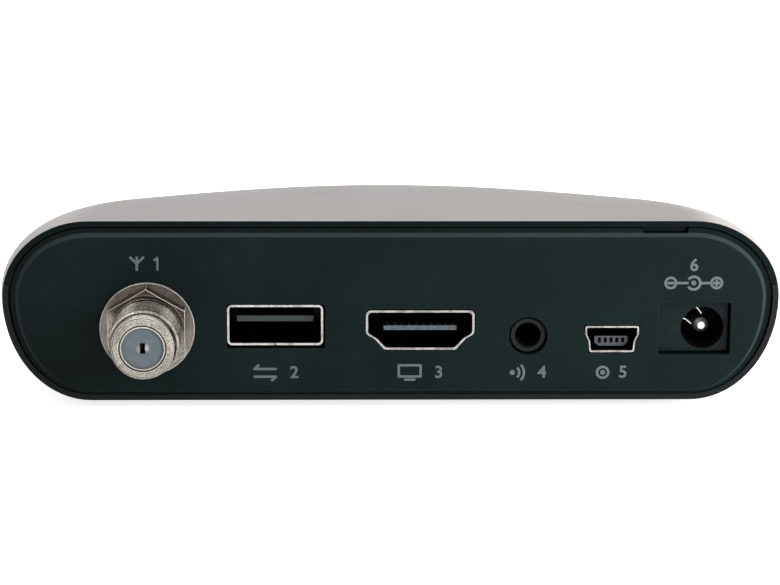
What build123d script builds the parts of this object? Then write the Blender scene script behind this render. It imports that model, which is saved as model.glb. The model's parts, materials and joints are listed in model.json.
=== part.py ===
from build123d import *
import math
import os

# Compact satellite TV receiver. Millimetres, +Z up, front towards -Y, connectors towards +Y.
# The origin is under the middle of the whole part, on the surface that its feet stand on.
# "Depth" is measured forwards from the rear rim, and heights from a level FOOT_STAND above that surface.

# ---------------------------------------------------------------- casing
REAR_HALF_WIDTH = 53.2
REAR_HEIGHT = 25.1
UNDERSIDE = -0.2            # height of the casing's underside
BODY_DEPTH = 78.0
WAIST_REAR = 14.3           # height of the widest line at the rear
WAIST_FRONT = 5.7           # and at the front
SHOULDER_REAR = 11.9        # half-axis across of the rounded upper corner
SHOULDER_FRONT = 23.0
HIP_REAR = 11.9             # half-axis across of the rounded lower corner
HIP_FRONT = 17.9
SIDE_FLARE = 1.5            # how far each side swells out
FLARE_DEPTH = 15.0          # over this depth
SIDE_TAPER = 9.0            # how far each side comes in again by the front
TOP_SLOPE = 0.053
TOP_FALL = 7.6
CROWN_ANGLE = 9.0           # slope at the shoulder of the front's crowned top, degrees
FRONT_BOW_RADIUS = 196.0
WALL = 1.8
RIM = 0.8                   # wall left round the rear panel
FRONT_RIM = 1.0
SEAM_ABOVE_WAIST = 1.9
SEAM_GAP = 0.1
TONGUE_HEIGHT = 1.2
SLIP = 0.05                 # clearance between parts that locate each other
VENT_COUNT = 9
VENT_PITCH = 3.4
VENT_WIDTH = 1.3
VENT_LENGTH = 16.0
VENT_DEPTH_PLACE = 36.0

# ---------------------------------------------------------------- rear panel
PANEL_GAP = 0.22
PANEL_SET_BACK = 0.3        # border of the panel, in from the rim's end
PANEL_THICKNESS = 1.6
PANEL_RAISE = 0.5           # raised face, out from the border
PANEL_BORDER = 0.68
PANEL_BEVEL = 0.5
PANEL_BORDER_BELOW = 0.15   # the border is narrower along the underside
PANEL_GAP_BELOW = 0.05      # and so is the gap
LATCH_PLACE = -37.4
LATCH_WIDTH = 6.7
LATCH_TAPER = 0.3
LATCH_DEEP = 0.7

# ---------------------------------------------------------------- feet and screws
FOOT_STAND = 1.6
FOOT_RADIUS = 4.5
FOOT_SEAT = 0.6
FOOT_REAR_PLACE = (33.0, 12.0)
FOOT_FRONT_PLACE = (27.0, 63.0)
CASE_SCREW_REAR = (10.2, 24.0)      # in from the body's rear half width, and depth
CASE_SCREW_FRONT = (15.2, 60.0)
CASE_BOSS_RADIUS = 2.8
CASE_SCREW_RADIUS = 1.25
CASE_SCREW_LENGTH = 9.0
CASE_HEAD_RADIUS = 2.2
CASE_HEAD_HEIGHT = 1.4
CASE_HEAD_SUNK = 0.5
HEAD_RECESS_RATIO = 0.5     # driver recess: share of the head's radius

# ---------------------------------------------------------------- boards
BOARD_TOP = 6.6             # height of the main board's upper face
BOARD_THICKNESS = 1.6
BOARD_REAR = 2.4            # depth of its rear edge
BOARD_FRONT = 63.5
BOARD_SIDE_GAP = 7.2        # from the body's widest rear place to the main board's edge
BOARD_WIDE_TO = 17.0
BOARD_MIDDLE_HALF = 39.5
BOARD_MIDDLE_TO = 54.0
BOARD_NARROW_HALF = 34.5
BOARD_NOTCH_GAP = 0.3
BOARD_SCREW_PLACES = ((21.5, 19.0), (-36.0, 20.0), (36.0, 48.0), (-36.0, 48.0))
STANDOFF_RADIUS = 2.6
BOARD_SCREW_RADIUS = 0.85
BOARD_SCREW_LENGTH = 4.2
BOARD_HOLE_GAP = 0.2
BOARD_HEAD_RADIUS = 1.8
BOARD_HEAD_HEIGHT = 1.1
FRONT_BOARD_BACK = 66.6     # depth of the upright board's rear face
FRONT_BOARD_THICKNESS = 1.2
FRONT_BOARD_HALF = 38.0
FRONT_BOARD_LOW = 2.6
FRONT_BOARD_TOP = 11.2
GUIDE_WIDTH = 3.0
GUIDE_WALL = 1.2
HEADER_PINS = 10
HEADER_PITCH = 2.0
HEADER_PIN = 0.5
HEADER_HEIGHT = 2.4

# ---------------------------------------------------------------- front
FASCIA_THICKNESS = 1.8
FASCIA_SET_BACK = 0.3
FASCIA_GAP = 0.1
WINDOW_CENTRE = (-3.0, 6.9)
WINDOW_SIZE = (38.0, 6.8)
WINDOW_FLANGE = 1.0
FLANGE_THICKNESS = 0.8
KEY_PLACES = {"power_key": 20.0, "channel_down_key": 26.5, "channel_up_key": 33.0}
KEY_HEIGHT_PLACE = 6.2
KEY_SIZE = (4.6, 3.0)
KEY_GAP = 0.2
KEY_PROUD = 0.6
KEY_FLANGE = 0.6
KEY_TRAVEL = 0.4
KEY_STEM = 1.6
SWITCH_SIZE = (4.5, 4.5)
SWITCH_DEEP = 2.2
PLUNGER_RADIUS = 1.1
PLUNGER_OUT = 0.8
PLUNGER_IN = 0.9
DISPLAY_SIZE = (24.0, 7.4)
DISPLAY_DEEP = 5.6
DISPLAY_PLACE = (1.5, 6.8)
INFRARED_PLACE = (-17.0, 6.8)
INFRARED_SIZE = (5.6, 6.0)
INFRARED_DEEP = 2.6
INFRARED_DOME = 1.8
LED_PLACE = (-12.6, 6.8)
LED_RADIUS = 1.25
LED_DEEP = 3.6

# ---------------------------------------------------------------- sockets: place across, height, own sizes
AERIAL_PLACE = (33.45, 10.14)
AERIAL_THREAD_RADIUS = 4.76
AERIAL_NECK_RELIEF = 0.3    # the neck inside the nut is this much thinner than the thread
AERIAL_THREAD_STOP = 0.2    # the thread ends this far in front of the nut
AERIAL_REACH = 11.1         # from the rear rim's plane to the barrel's end
AERIAL_NOSE = ((0.0, 3.3), (0.7, 4.1), (1.5, 4.5), (2.3, 4.53))   # depth from the tip, radius
AERIAL_BORE_RADIUS = 2.82
AERIAL_LIP = 0.2            # thin lip round the insulator
AERIAL_GROOVE = 0.18        # width of the groove round that lip
AERIAL_GROOVE_DEEP = 0.4
AERIAL_SINK = 0.2           # the insulator's face, in from the tip
AERIAL_FLANGE_RADIUS = 6.2
AERIAL_FLANGE = 1.1
WASHER_RADIUS = 6.5
WASHER_THICKNESS = 0.6
NUT_ACROSS_FLATS = 10.6
NUT_THICKNESS = 2.3
NUT_COUNTERSINK = 0.3
NUT_CROWN = math.radians(15)
NUT_SIDES = 6
SLOT_SIZE = (0.7, 1.5)
SLOT_DEEP = 7.0
CONTACT_LEAF = 0.2

USB_PLACE = (15.96, 10.45)
USB_SIZE = (13.18, 5.71)
USB_WALL = 0.3
USB_CORNER = 0.7
USB_FRONT = 0.1
USB_LONG = 13.8
USB_TONGUE_SIZE = (10.5, 0.8)
USB_TONGUE_HEIGHT = 11.1
USB_SEAM = 0.12             # where the folded shell's edges meet, under its middle
USB_TONGUE_BACK = 1.2
USB_CONTACT_PLACES = (-3.5, -1.0, 1.0, 3.5)
USB_CONTACT_WIDTH = 1.0
USB_GAPS = (0.27, 0.11, 0.4, 0.11)   # towards -X, +X, down, up
USB_SPRING_PLACES = (-2.9, 2.75)
SPRING_WIDTH = 1.7
SPRING_RISE = 0.7
SPRING_LONG = 4.0
LEG_WIDTH = 1.8
USB_LEG_SHARES = (0.3, 0.85)         # where the board legs stand along the shell

HDMI_PLACE = -3.94
HDMI_TOP = 12.6
HDMI_HEIGHT = 5.58
HDMI_WIDTH = 14.91
HDMI_STRAIGHT = 3.3
HDMI_STEP = (1.25, 0.8)     # the slant's first stretch: in, and down
HDMI_BOTTOM_WIDTH = 9.85
HDMI_WALL = 0.3
HDMI_CORNER = 0.7
HDMI_FRONT = -0.25
HDMI_LONG = 11.0
HDMI_TONGUE_SIZE = (10.0, 0.65)
HDMI_TONGUE_HEIGHT = 10.0
HDMI_CONTACT_COUNT = 19
HDMI_CONTACT_PITCH = 0.5
HDMI_CONTACT_WIDTH = 0.28
HDMI_SPRING_PLACES = (-2.4, 2.4)
HDMI_SPRING_WIDTH = 1.19

JACK_PLACE = (-18.8, 8.93)
JACK_HOLE_RADIUS = 2.7
JACK_BUSH_RADIUS = 2.35
JACK_BORE_RADIUS = 1.8
JACK_FRONT = 0.4
JACK_WIDTH = 6.2
JACK_TALL = 5.0
JACK_BODY_FRONT = 2.1
JACK_LONG = 11.5
JACK_SPRING_DEPTHS = (4.0, 7.2, 10.4)
JACK_SPRING = (1.6, 0.25, 2.0)

MINI_PLACE = -30.37
MINI_TOP = 10.33
MINI_WIDTH = 7.42
MINI_STRAIGHT = 1.15
MINI_MIDDLE = (6.48, 2.15)   # width, and height below the top
MINI_BOTTOM_WIDTH = 6.15
MINI_WALL = 0.25
MINI_CORNER = 0.3
MINI_FRONT = -0.1
MINI_LONG = 9.0
MINI_TONGUE_SIZE = (4.6, 1.4)
MINI_TONGUE_HEIGHT = 7.85
MINI_TONGUE_BEVEL = 0.55
MINI_CONTACT_COUNT = 5
MINI_CONTACT_PITCH = 0.8
MINI_CONTACT_WIDTH = 0.3
MINI_SLOT = (0.45, 0.7, 1.2)         # opening of each contact's slot in the tongue, and its depth

POWER_FROM_SIDE = 10.32     # from the body's rear half width to the hole's axis
POWER_HEIGHT = 9.86
POWER_HOLE_RADIUS = 2.97
POWER_CUT_SPANS = (3.79, 6.16, 3.63, 3.77)   # panel opening from the hole's axis: outwards, inwards, down, up
POWER_CUT_CORNER = 0.4
POWER_CUT_GAPS = (0.3, 0.1, 0.0, 0.12)       # between the opening and the jack's body: the same four ways
POWER_FRONT = 0.9
POWER_LONG = 11.0
POWER_HOLE_DEEP = 9.5
POWER_PIN_RADIUS = 1.0
POWER_PIN_FRONT = 2.0
POWER_SPRING_WIDTH = 2.0
POWER_SPRING_THICKNESS = 0.25
POWER_SPRING_ANGLE = 45.0
POWER_SPRING_BENDS = ((0.6, 3.05), (3.4, 1.9), (8.0, 3.05))   # depth from the jack's face, radius

CUT_GAP = 0.15              # panel opening round a socket's shell
CUT_CORNER = 0.35

# ---------------------------------------------------------------- parts on the main board
CAN_FROM = 25.0
CAN_TO = 39.2
CAN_LONG = 28.0
CAN_HEIGHT = 9.4
CAN_WALL = 0.5
LID_SKIRT = 1.6
TUNER_CHIP = (5.0, 5.0, 0.9)
PROCESSOR_PLACE = (-2.0, 36.0)
PROCESSOR_SIZE = (15.0, 15.0, 1.4)
PAD_THICKNESS = 0.5
SINK_SIZE = (18.0, 18.0, 6.0)
SINK_BASE = 1.4
SINK_FIN = 0.9
SINK_FIN_PITCH = 2.4
MEMORY_PLACE = (-2.0, 54.0)
MEMORY_SIZE = (12.0, 8.0, 1.1)
FLASH_PLACE = (15.0, 41.0)
FLASH_SIZE = (5.3, 5.3, 1.7)
CRYSTAL_PLACE = (15.0, 31.5)
CRYSTAL_SIZE = (10.4, 4.2, 3.4)
CRYSTAL_CORNER = 1.9
CAPACITOR_RADIUS = 3.15
CAPACITOR_HEIGHT = 7.7
CAPACITOR_PLACES = ((-30.6, 20.5), (-24.0, 20.5), (-35.5, 30.0), (21.0, 50.0))
INDUCTOR_SIZE = (6.6, 6.6, 3.2)
INDUCTOR_PLACES = ((-27.0, 31.0), (-27.0, 41.0), (-18.5, 27.0))
REGULATOR_SIZE = (5.0, 4.0, 1.6)
REGULATOR_PLACES = ((-19.0, 34.5), (-19.0, 42.5), (-35.0, 38.5))
CHIP_CAPACITOR = (1.6, 0.8, 0.8)
CHIP_CAPACITOR_ROW = 6
CHIP_CAPACITOR_PITCH = 2.6
CHIP_CAPACITOR_DEPTHS = (25.0, 47.0)

# ---------------------------------------------------------------- worked out
REAR_Y = (BODY_DEPTH - AERIAL_REACH) / 2
BIG = 200.0
SHOULDER_SEARCH_FROM = math.radians(15)
SHOULDER_SEARCH_STEPS = 60
SECTION_DEPTHS = [BODY_DEPTH * share for share in (0, 0.25, 0.5, 0.75, 1)]
SEAM_DROP = (WAIST_REAR - WAIST_FRONT) / BODY_DEPTH
SEAM_REAR = WAIST_REAR + SEAM_ABOVE_WAIST
PANEL_INSET = RIM + PANEL_GAP
PANEL_FACE = PANEL_SET_BACK - PANEL_RAISE
PANEL_BACK = PANEL_SET_BACK + PANEL_THICKNESS
REAR_SEAT = PANEL_BACK + SLIP
FASCIA_RADIUS = FRONT_BOW_RADIUS - FASCIA_SET_BACK
FASCIA_BACK_RADIUS = FASCIA_RADIUS - FASCIA_THICKNESS
FRONT_SEAT_RADIUS = FASCIA_BACK_RADIUS - SLIP
FRONT_Y = REAR_Y - BODY_DEPTH
BOW_CENTRE_Y = FRONT_Y + FRONT_BOW_RADIUS
BOARD_UNDER = BOARD_TOP - BOARD_THICKNESS
FRONT_BOARD_FACE = FRONT_BOARD_BACK + FRONT_BOARD_THICKNESS
SWITCH_FACE = FRONT_BOARD_FACE + SWITCH_DEEP
PLUNGER_FACE = SWITCH_FACE + PLUNGER_OUT
WASHER_FACE = PANEL_FACE - WASHER_THICKNESS
NUT_FACE = WASHER_FACE - NUT_THICKNESS
CAN_REAR = PANEL_BACK + SLIP + AERIAL_FLANGE

BOARD_WIDE_HALF = REAR_HALF_WIDTH - BOARD_SIDE_GAP
POWER_HOLE_PLACE = (POWER_FROM_SIDE - REAR_HALF_WIDTH, POWER_HEIGHT)
POWER_CUT = (POWER_HOLE_PLACE[0] - POWER_CUT_SPANS[0], POWER_HOLE_PLACE[0] + POWER_CUT_SPANS[1],
             POWER_HEIGHT - POWER_CUT_SPANS[2], POWER_HEIGHT + POWER_CUT_SPANS[3])

parts = {}


def y_at(depth):
    """Y of a place this far forwards of the rear rim."""
    return REAR_Y - depth


def z_at(height):
    """Z of a place at a height."""
    return FOOT_STAND + height


def block(x_from, x_to, depth_from, depth_to, low, high):
    """A box between two places across, two depths and two heights."""
    centre = ((x_from + x_to) / 2, y_at((depth_from + depth_to) / 2), z_at((low + high) / 2))
    size = (abs(x_to - x_from), abs(depth_to - depth_from), abs(high - low))
    return Pos(*centre) * Box(*size)


def rod(radius, place, depth_from, depth_to):
    """A cylinder along Y at a place (across, height)."""
    centre = (place[0], y_at((depth_from + depth_to) / 2), z_at(place[1]))
    return Pos(*centre) * Rot(90, 0, 0) * Cylinder(radius, abs(depth_to - depth_from))


def cone(radius_from, radius_to, place, depth_from, depth_to):
    """A cone along Y; its second radius is at the greater depth."""
    centre = (place[0], y_at((depth_from + depth_to) / 2), z_at(place[1]))
    return Pos(*centre) * Rot(90, 0, 0) * Cone(radius_from, radius_to, depth_to - depth_from)


def post(radius, place, low, high):
    """An upright cylinder at a place (across, depth)."""
    centre = (place[0], y_at(place[1]), z_at((low + high) / 2))
    return Pos(*centre) * Cylinder(radius, high - low)


def slab_at(place, size, low):
    """A box of a size (across, deep, high) standing on a height at a place (across, depth)."""
    half_x, half_y = size[0] / 2, size[1] / 2
    return block(place[0] - half_x, place[0] + half_x, place[1] - half_y, place[1] + half_y, low,
                 low + size[2])


def profile(points, depth_from, depth_to, corner=0.0):
    """A closed outline of (across, height) points, run from one depth to another."""
    outline = Wire.make_polygon([(x, y_at(depth_from), z_at(h)) for x, h in points], close=True)
    if corner:
        outline = outline.fillet_2d(corner, outline.vertices())
    return Solid.extrude(Face(outline), Vector(0, depth_from - depth_to, 0))


def rounded_block(x_from, x_to, depth_from, depth_to, low, high, corner):
    """A block with its four edges along Y rounded."""
    corners = [(x_from, low), (x_to, low), (x_to, high), (x_from, high)]
    return profile(corners, depth_from, depth_to, corner)


def side_profile(points, x_from, x_to):
    """A closed outline of (depth, height) points, run across."""
    outline = Wire.make_polygon([(x_from, y_at(d), z_at(h)) for d, h in points], close=True)
    return Solid.extrude(Face(outline), Vector(x_to - x_from, 0, 0))


def save(name, *shapes):
    """Keeps the solids of one node."""
    parts[name] = [solid for shape in shapes for solid in shape.solids()]


# ---------------------------------------------------------------- the body's form
def elliptic(centre, across, up, start, turn):
    """Control points of a cubic that follows an ellipse from a start angle through a turn, in degrees."""
    reach = 4 / 3 * math.tan(math.radians(turn) / 4)
    first, last = math.radians(start), math.radians(start + turn)
    begin = (centre[0] + across * math.cos(first), centre[1] + up * math.sin(first))
    end = (centre[0] + across * math.cos(last), centre[1] + up * math.sin(last))
    leave = (begin[0] - reach * across * math.sin(first), begin[1] + reach * up * math.cos(first))
    arrive = (end[0] + reach * across * math.sin(last), end[1] - reach * up * math.cos(last))
    return [begin, leave, arrive, end]


def shoulder_join(flat, across, waist, top, slope):
    """The angle on the shoulder's ellipse where its slope is the crown's, and that point."""
    steep, upright = SHOULDER_SEARCH_FROM, math.pi / 2
    for _ in range(SHOULDER_SEARCH_STEPS):
        angle = (steep + upright) / 2
        x = flat + across * math.cos(angle)
        height = top - x * math.tan(slope / 2)
        if math.tan(slope) * across * math.sin(angle) ** 2 < (height - waist) * math.cos(angle):
            steep = angle
        else:
            upright = angle
    return angle, x, height


def section(depth, inset, inset_below=None):
    """The body's outline at one depth, drawn in by an inset: underside, sides, shoulders and crown."""
    share = depth / BODY_DEPTH
    below = inset if inset_below is None else inset_below
    swell = 1 - max(0.0, 1 - depth / FLARE_DEPTH) ** 2
    half = REAR_HALF_WIDTH + SIDE_FLARE * swell - SIDE_TAPER * share ** 3 - inset
    top = REAR_HEIGHT - TOP_SLOPE * depth - TOP_FALL * share ** 2 - inset
    waist = WAIST_REAR + (WAIST_FRONT - WAIST_REAR) * share
    shoulder = SHOULDER_REAR + (SHOULDER_FRONT - SHOULDER_REAR) * share - inset
    hip = HIP_REAR + (HIP_FRONT - HIP_REAR) * share - inset
    slope = math.radians(CROWN_ANGLE) * share
    flat = half - shoulder
    if slope > 0:
        angle, join_x, join_top = shoulder_join(flat, shoulder, waist, top, slope)
        handle = join_x / math.sin(slope) * 4 / 3 * math.tan(slope / 2)
    else:
        angle, join_x, join_top = math.pi / 2, flat, top
        handle = 2 * flat / 3
    turn = math.degrees(angle)
    rise = (join_top - waist) / math.sin(angle)
    handle_x, handle_z = handle * math.cos(slope), handle * math.sin(slope)
    crown = [(join_x, join_top), (join_x - handle_x, join_top + handle_z),
             (handle_x - join_x, join_top + handle_z), (-join_x, join_top)]
    curves = [
        elliptic((half - hip, waist), hip, waist - UNDERSIDE - below, -90, 90),
        elliptic((flat, waist), shoulder, rise, 0, turn),
        crown,
        elliptic((-flat, waist), shoulder, rise, 180 - turn, turn),
        elliptic((hip - half, waist), hip, waist - UNDERSIDE - below, 180, 90),
    ]
    places = [[(x, y_at(depth), z_at(height)) for x, height in curve] for curve in curves]
    under = Edge.make_line(places[-1][-1], places[0][0])
    return Wire([under] + [Edge.make_bezier(*points) for points in places])


def hull(inset):
    """The body's form drawn in by an inset, over its whole depth."""
    return Solid.make_loft([section(depth, inset) for depth in SECTION_DEPTHS])


def rear_plate(inset, depth_from, depth_to, inset_below=None):
    """A plate of the rear outline, drawn in by an inset."""
    outline = section(0.0, inset, inset_below)
    plate = Solid.extrude(Face(outline), Vector(0, depth_from - depth_to, 0))
    return Pos(0, -depth_from, 0) * plate


def drum(radius):
    """An upright drum about the front's bow."""
    return Pos(0, BOW_CENTRE_Y, 0) * Cylinder(radius, BIG)


def below_seam(lift):
    """Everything below the sloping seam of the two shells, raised by a lift."""
    rear, front = -BODY_DEPTH, 2 * BODY_DEPTH
    heights = [SEAM_REAR - SEAM_DROP * depth + lift for depth in (rear, front)]
    corners = [(rear, -BIG), (rear, heights[0]), (front, heights[1]), (front, -BIG)]
    return side_profile(corners, -BIG, BIG)


def seam_height(depth):
    return SEAM_REAR - SEAM_DROP * depth


def mirrored(place):
    return [(place[0], place[1]), (-place[0], place[1])]


def from_side(place):
    """A place given by its distance in from the body's rear half width, and its depth."""
    return mirrored((REAR_HALF_WIDTH - place[0], place[1]))


CASE_SCREW_PLACES = from_side(CASE_SCREW_REAR) + from_side(CASE_SCREW_FRONT)
FOOT_PLACES = mirrored(FOOT_REAR_PLACE) + mirrored(FOOT_FRONT_PLACE)
HEAD_SEAT = CASE_HEAD_SUNK + CASE_HEAD_HEIGHT


def make_shells():
    bow = drum(FRONT_BOW_RADIUS)
    outer = hull(0.0) & bow
    inner = hull(WALL)
    middle_in = hull(WALL / 2 + SLIP)
    middle_out = hull(WALL / 2 - SLIP)
    rear_seat = rear_plate(RIM, -1.0, REAR_SEAT)
    front_seat = hull(FRONT_RIM) - drum(FRONT_SEAT_RADIUS)
    walls = outer - inner

    lower = walls & below_seam(0.0)
    tongue = (middle_in - inner) & below_seam(TONGUE_HEIGHT)
    lower = lower + ((tongue - below_seam(-WALL)) & bow)
    upper = walls - below_seam(SEAM_GAP)
    upper = upper - (middle_out & below_seam(TONGUE_HEIGHT + SEAM_GAP))

    for place in CASE_SCREW_PLACES:
        meet = seam_height(place[1])
        lower = lower + (post(CASE_BOSS_RADIUS, place, 0.0, meet) & outer)
        upper = upper + (post(CASE_BOSS_RADIUS, place, meet + SEAM_GAP, REAR_HEIGHT) & middle_in)
        lower = lower - post(CASE_SCREW_RADIUS + SLIP, place, -1.0, meet + 1.0)
        lower = lower - post(CASE_HEAD_RADIUS + SLIP, place, -1.0, HEAD_SEAT)
        upper = upper - post(CASE_SCREW_RADIUS + SLIP, place, 0.0, HEAD_SEAT + CASE_SCREW_LENGTH + SLIP)
    for place in BOARD_SCREW_PLACES:
        lower = lower + post(STANDOFF_RADIUS, place, WALL / 2, BOARD_UNDER)
        lower = lower - post(BOARD_SCREW_RADIUS + SLIP, place, BOARD_TOP - BOARD_SCREW_LENGTH - SLIP,
                             BOARD_TOP)
    for place in FOOT_PLACES:
        lower = lower - post(FOOT_RADIUS + SLIP, place, -1.0, FOOT_SEAT)
    first = -(VENT_COUNT - 1) / 2
    for number in range(VENT_COUNT):
        x = (first + number) * VENT_PITCH
        slot_from = VENT_DEPTH_PLACE - VENT_LENGTH / 2
        lower = lower - block(x - VENT_WIDTH / 2, x + VENT_WIDTH / 2, slot_from, slot_from + VENT_LENGTH, -1,
                              WALL + 1)
    for side in (1, -1):
        place = side * FRONT_BOARD_HALF
        depth_from, depth_to = FRONT_BOARD_BACK - GUIDE_WALL, FRONT_BOARD_FACE + GUIDE_WALL
        guide = block(place - GUIDE_WIDTH / 2, place + GUIDE_WIDTH / 2, depth_from, depth_to, WALL / 2,
                      seam_height(depth_to) - SEAM_GAP)
        slot = block(place - side * GUIDE_WIDTH, place + side * SLIP, FRONT_BOARD_BACK - SLIP,
                     FRONT_BOARD_FACE + SLIP, FRONT_BOARD_LOW - SLIP, REAR_HEIGHT)
        lower = lower + ((guide & outer) - slot)

    tab = block(LATCH_PLACE - LATCH_WIDTH / 2 + PANEL_GAP * 2, LATCH_PLACE + LATCH_WIDTH / 2 - PANEL_GAP * 2,
                PANEL_SET_BACK + LATCH_DEEP, REAR_SEAT + SLIP,
                REAR_HEIGHT - PANEL_INSET - PANEL_BORDER, REAR_HEIGHT - RIM / 2)
    save("lower_shell", lower - rear_seat - front_seat)
    save("upper_shell", (upper - rear_seat - front_seat) + tab)


def socket_outline(width, top, straight, corners):
    """Outline of a shell that narrows downwards: full width at the top, then (width, height) corners."""
    right = [(width / 2, top), (width / 2, top - straight)] + [(w / 2, h) for w, h in corners]
    return right + [(-x, h) for x, h in reversed(right)]


def grown(points, gap):
    """A socket's outline drawn out by a gap, from its own middle."""
    low, high = min(h for _, h in points), max(h for _, h in points)
    middle, wide = (low + high) / 2, max(abs(x) for x, _ in points)
    return [(x * (wide + gap) / wide, middle + (h - middle) * (high - middle + gap) / (high - middle))
            for x, h in points]


def moved(points, x):
    return [(px + x, h) for px, h in points]


HDMI_OUTLINE = socket_outline(HDMI_WIDTH, HDMI_TOP, HDMI_STRAIGHT, [
    (HDMI_WIDTH - 2 * HDMI_STEP[0], HDMI_TOP - HDMI_STRAIGHT - HDMI_STEP[1]),
    (HDMI_BOTTOM_WIDTH, HDMI_TOP - HDMI_HEIGHT)])
MINI_OUTLINE = socket_outline(MINI_WIDTH, MINI_TOP, MINI_STRAIGHT, [
    (MINI_MIDDLE[0], MINI_TOP - MINI_MIDDLE[1]), (MINI_BOTTOM_WIDTH, BOARD_TOP)])
USB_SIDES = (USB_PLACE[0] - USB_SIZE[0] / 2, USB_PLACE[0] + USB_SIZE[0] / 2)
USB_ENDS = (USB_PLACE[1] - USB_SIZE[1] / 2, USB_PLACE[1] + USB_SIZE[1] / 2)


def make_rear_panel():
    panel = rear_plate(PANEL_INSET, PANEL_SET_BACK, PANEL_BACK, RIM + PANEL_GAP_BELOW)
    base_inset = PANEL_INSET + PANEL_BORDER
    low_inset = PANEL_INSET + PANEL_BORDER_BELOW
    base = section(0.0, base_inset, low_inset)
    face = section(0.0, base_inset + PANEL_BEVEL, low_inset + PANEL_BEVEL / 2)
    raised = Solid.make_loft([Pos(0, -PANEL_SET_BACK, 0) * base, Pos(0, -PANEL_FACE, 0) * face], ruled=True)
    panel = panel + raised

    through = (PANEL_FACE - 1, PANEL_BACK + 1)
    panel = panel - rod(AERIAL_THREAD_RADIUS + CUT_GAP, AERIAL_PLACE, *through)
    panel = panel - rounded_block(USB_SIDES[0] - USB_GAPS[0], USB_SIDES[1] + USB_GAPS[1], *through,
                                  USB_ENDS[0] - USB_GAPS[2], USB_ENDS[1] + USB_GAPS[3], CUT_CORNER)
    panel = panel - profile(moved(grown(HDMI_OUTLINE, CUT_GAP), HDMI_PLACE), *through,
                            HDMI_CORNER + CUT_GAP)
    panel = panel - rod(JACK_HOLE_RADIUS, JACK_PLACE, *through)
    panel = panel - profile(moved(grown(MINI_OUTLINE, CUT_GAP), MINI_PLACE), *through)
    panel = panel - rounded_block(POWER_CUT[0], POWER_CUT[1], *through, POWER_CUT[2], POWER_CUT[3],
                                  POWER_CUT_CORNER)
    notch_top = REAR_HEIGHT - PANEL_INSET + 1
    notch_low = REAR_HEIGHT - PANEL_INSET - PANEL_BORDER - SLIP
    half = LATCH_WIDTH / 2
    notch = [(LATCH_PLACE - half, notch_top), (LATCH_PLACE + half, notch_top),
             (LATCH_PLACE + half - LATCH_TAPER, notch_low), (LATCH_PLACE - half + LATCH_TAPER, notch_low)]
    save("rear_panel", panel - profile(notch, *through))


def curved_plate(x_from, x_to, low, high, radius_from, radius_to):
    """A piece of plate that follows the front's bow."""
    near = BODY_DEPTH / 2
    piece = block(x_from, x_to, near, BODY_DEPTH + WALL, low, high)
    return (piece & drum(radius_to)) - drum(radius_from)


def around(place, size, extra=0.0):
    """X from, X to, height from and height to of a rectangle, grown by an extra on each side."""
    return (place[0] - size[0] / 2 - extra, place[0] + size[0] / 2 + extra,
            place[1] - size[1] / 2 - extra, place[1] + size[1] / 2 + extra)


def make_front():
    fascia = (hull(FRONT_RIM + FASCIA_GAP) & drum(FASCIA_RADIUS)) - drum(FASCIA_BACK_RADIUS)
    fascia = fascia & block(-BIG, BIG, BODY_DEPTH / 2, BODY_DEPTH + WALL, 0, REAR_HEIGHT)
    x_from, x_to, low, high = around(WINDOW_CENTRE, WINDOW_SIZE)
    fascia = fascia - block(x_from, x_to, BODY_DEPTH / 2, BODY_DEPTH + WALL, low, high)
    for x in KEY_PLACES.values():
        x_from, x_to, low, high = around((x, KEY_HEIGHT_PLACE), KEY_SIZE, KEY_GAP)
        fascia = fascia - block(x_from, x_to, BODY_DEPTH / 2, BODY_DEPTH + WALL, low, high)
    save("front_fascia", fascia)

    pane = curved_plate(*around(WINDOW_CENTRE, WINDOW_SIZE, -SLIP), FASCIA_BACK_RADIUS - SLIP, FASCIA_RADIUS)
    rim = curved_plate(*around(WINDOW_CENTRE, WINDOW_SIZE, WINDOW_FLANGE),
                       FASCIA_BACK_RADIUS - SLIP - FLANGE_THICKNESS, FASCIA_BACK_RADIUS - SLIP)
    save("display_window", pane + rim)

    for name, x in KEY_PLACES.items():
        place = (x, KEY_HEIGHT_PLACE)
        flange_back = FASCIA_BACK_RADIUS - SLIP - FLANGE_THICKNESS
        cap = curved_plate(*around(place, KEY_SIZE), flange_back, FASCIA_RADIUS + KEY_PROUD)
        flange = curved_plate(*around(place, KEY_SIZE, KEY_FLANGE), flange_back, FASCIA_BACK_RADIUS - SLIP)
        reach = BODY_DEPTH - x ** 2 / (2 * FRONT_BOW_RADIUS) - FASCIA_SET_BACK - FASCIA_THICKNESS
        stem_from, stem_to, low, high = around(place, (KEY_STEM, KEY_STEM))
        stem = block(stem_from, stem_to, PLUNGER_FACE + SLIP, reach - SLIP, low, high)
        save(name, cap + flange + stem)
        plunger = rod(PLUNGER_RADIUS, place, SWITCH_FACE - PLUNGER_IN, PLUNGER_FACE)
        save(name.replace("_key", "_switch_plunger"), plunger)

    switches = []
    for x in KEY_PLACES.values():
        place = (x, KEY_HEIGHT_PLACE)
        body_from, body_to, low, high = around(place, SWITCH_SIZE)
        body = block(body_from, body_to, FRONT_BOARD_FACE, SWITCH_FACE, low, high)
        well_floor = SWITCH_FACE - PLUNGER_IN - KEY_TRAVEL - SLIP
        well = rod(PLUNGER_RADIUS + SLIP, place, well_floor, SWITCH_FACE + 1)
        switches.append(body - well)
    save("key_switches", *switches)


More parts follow.
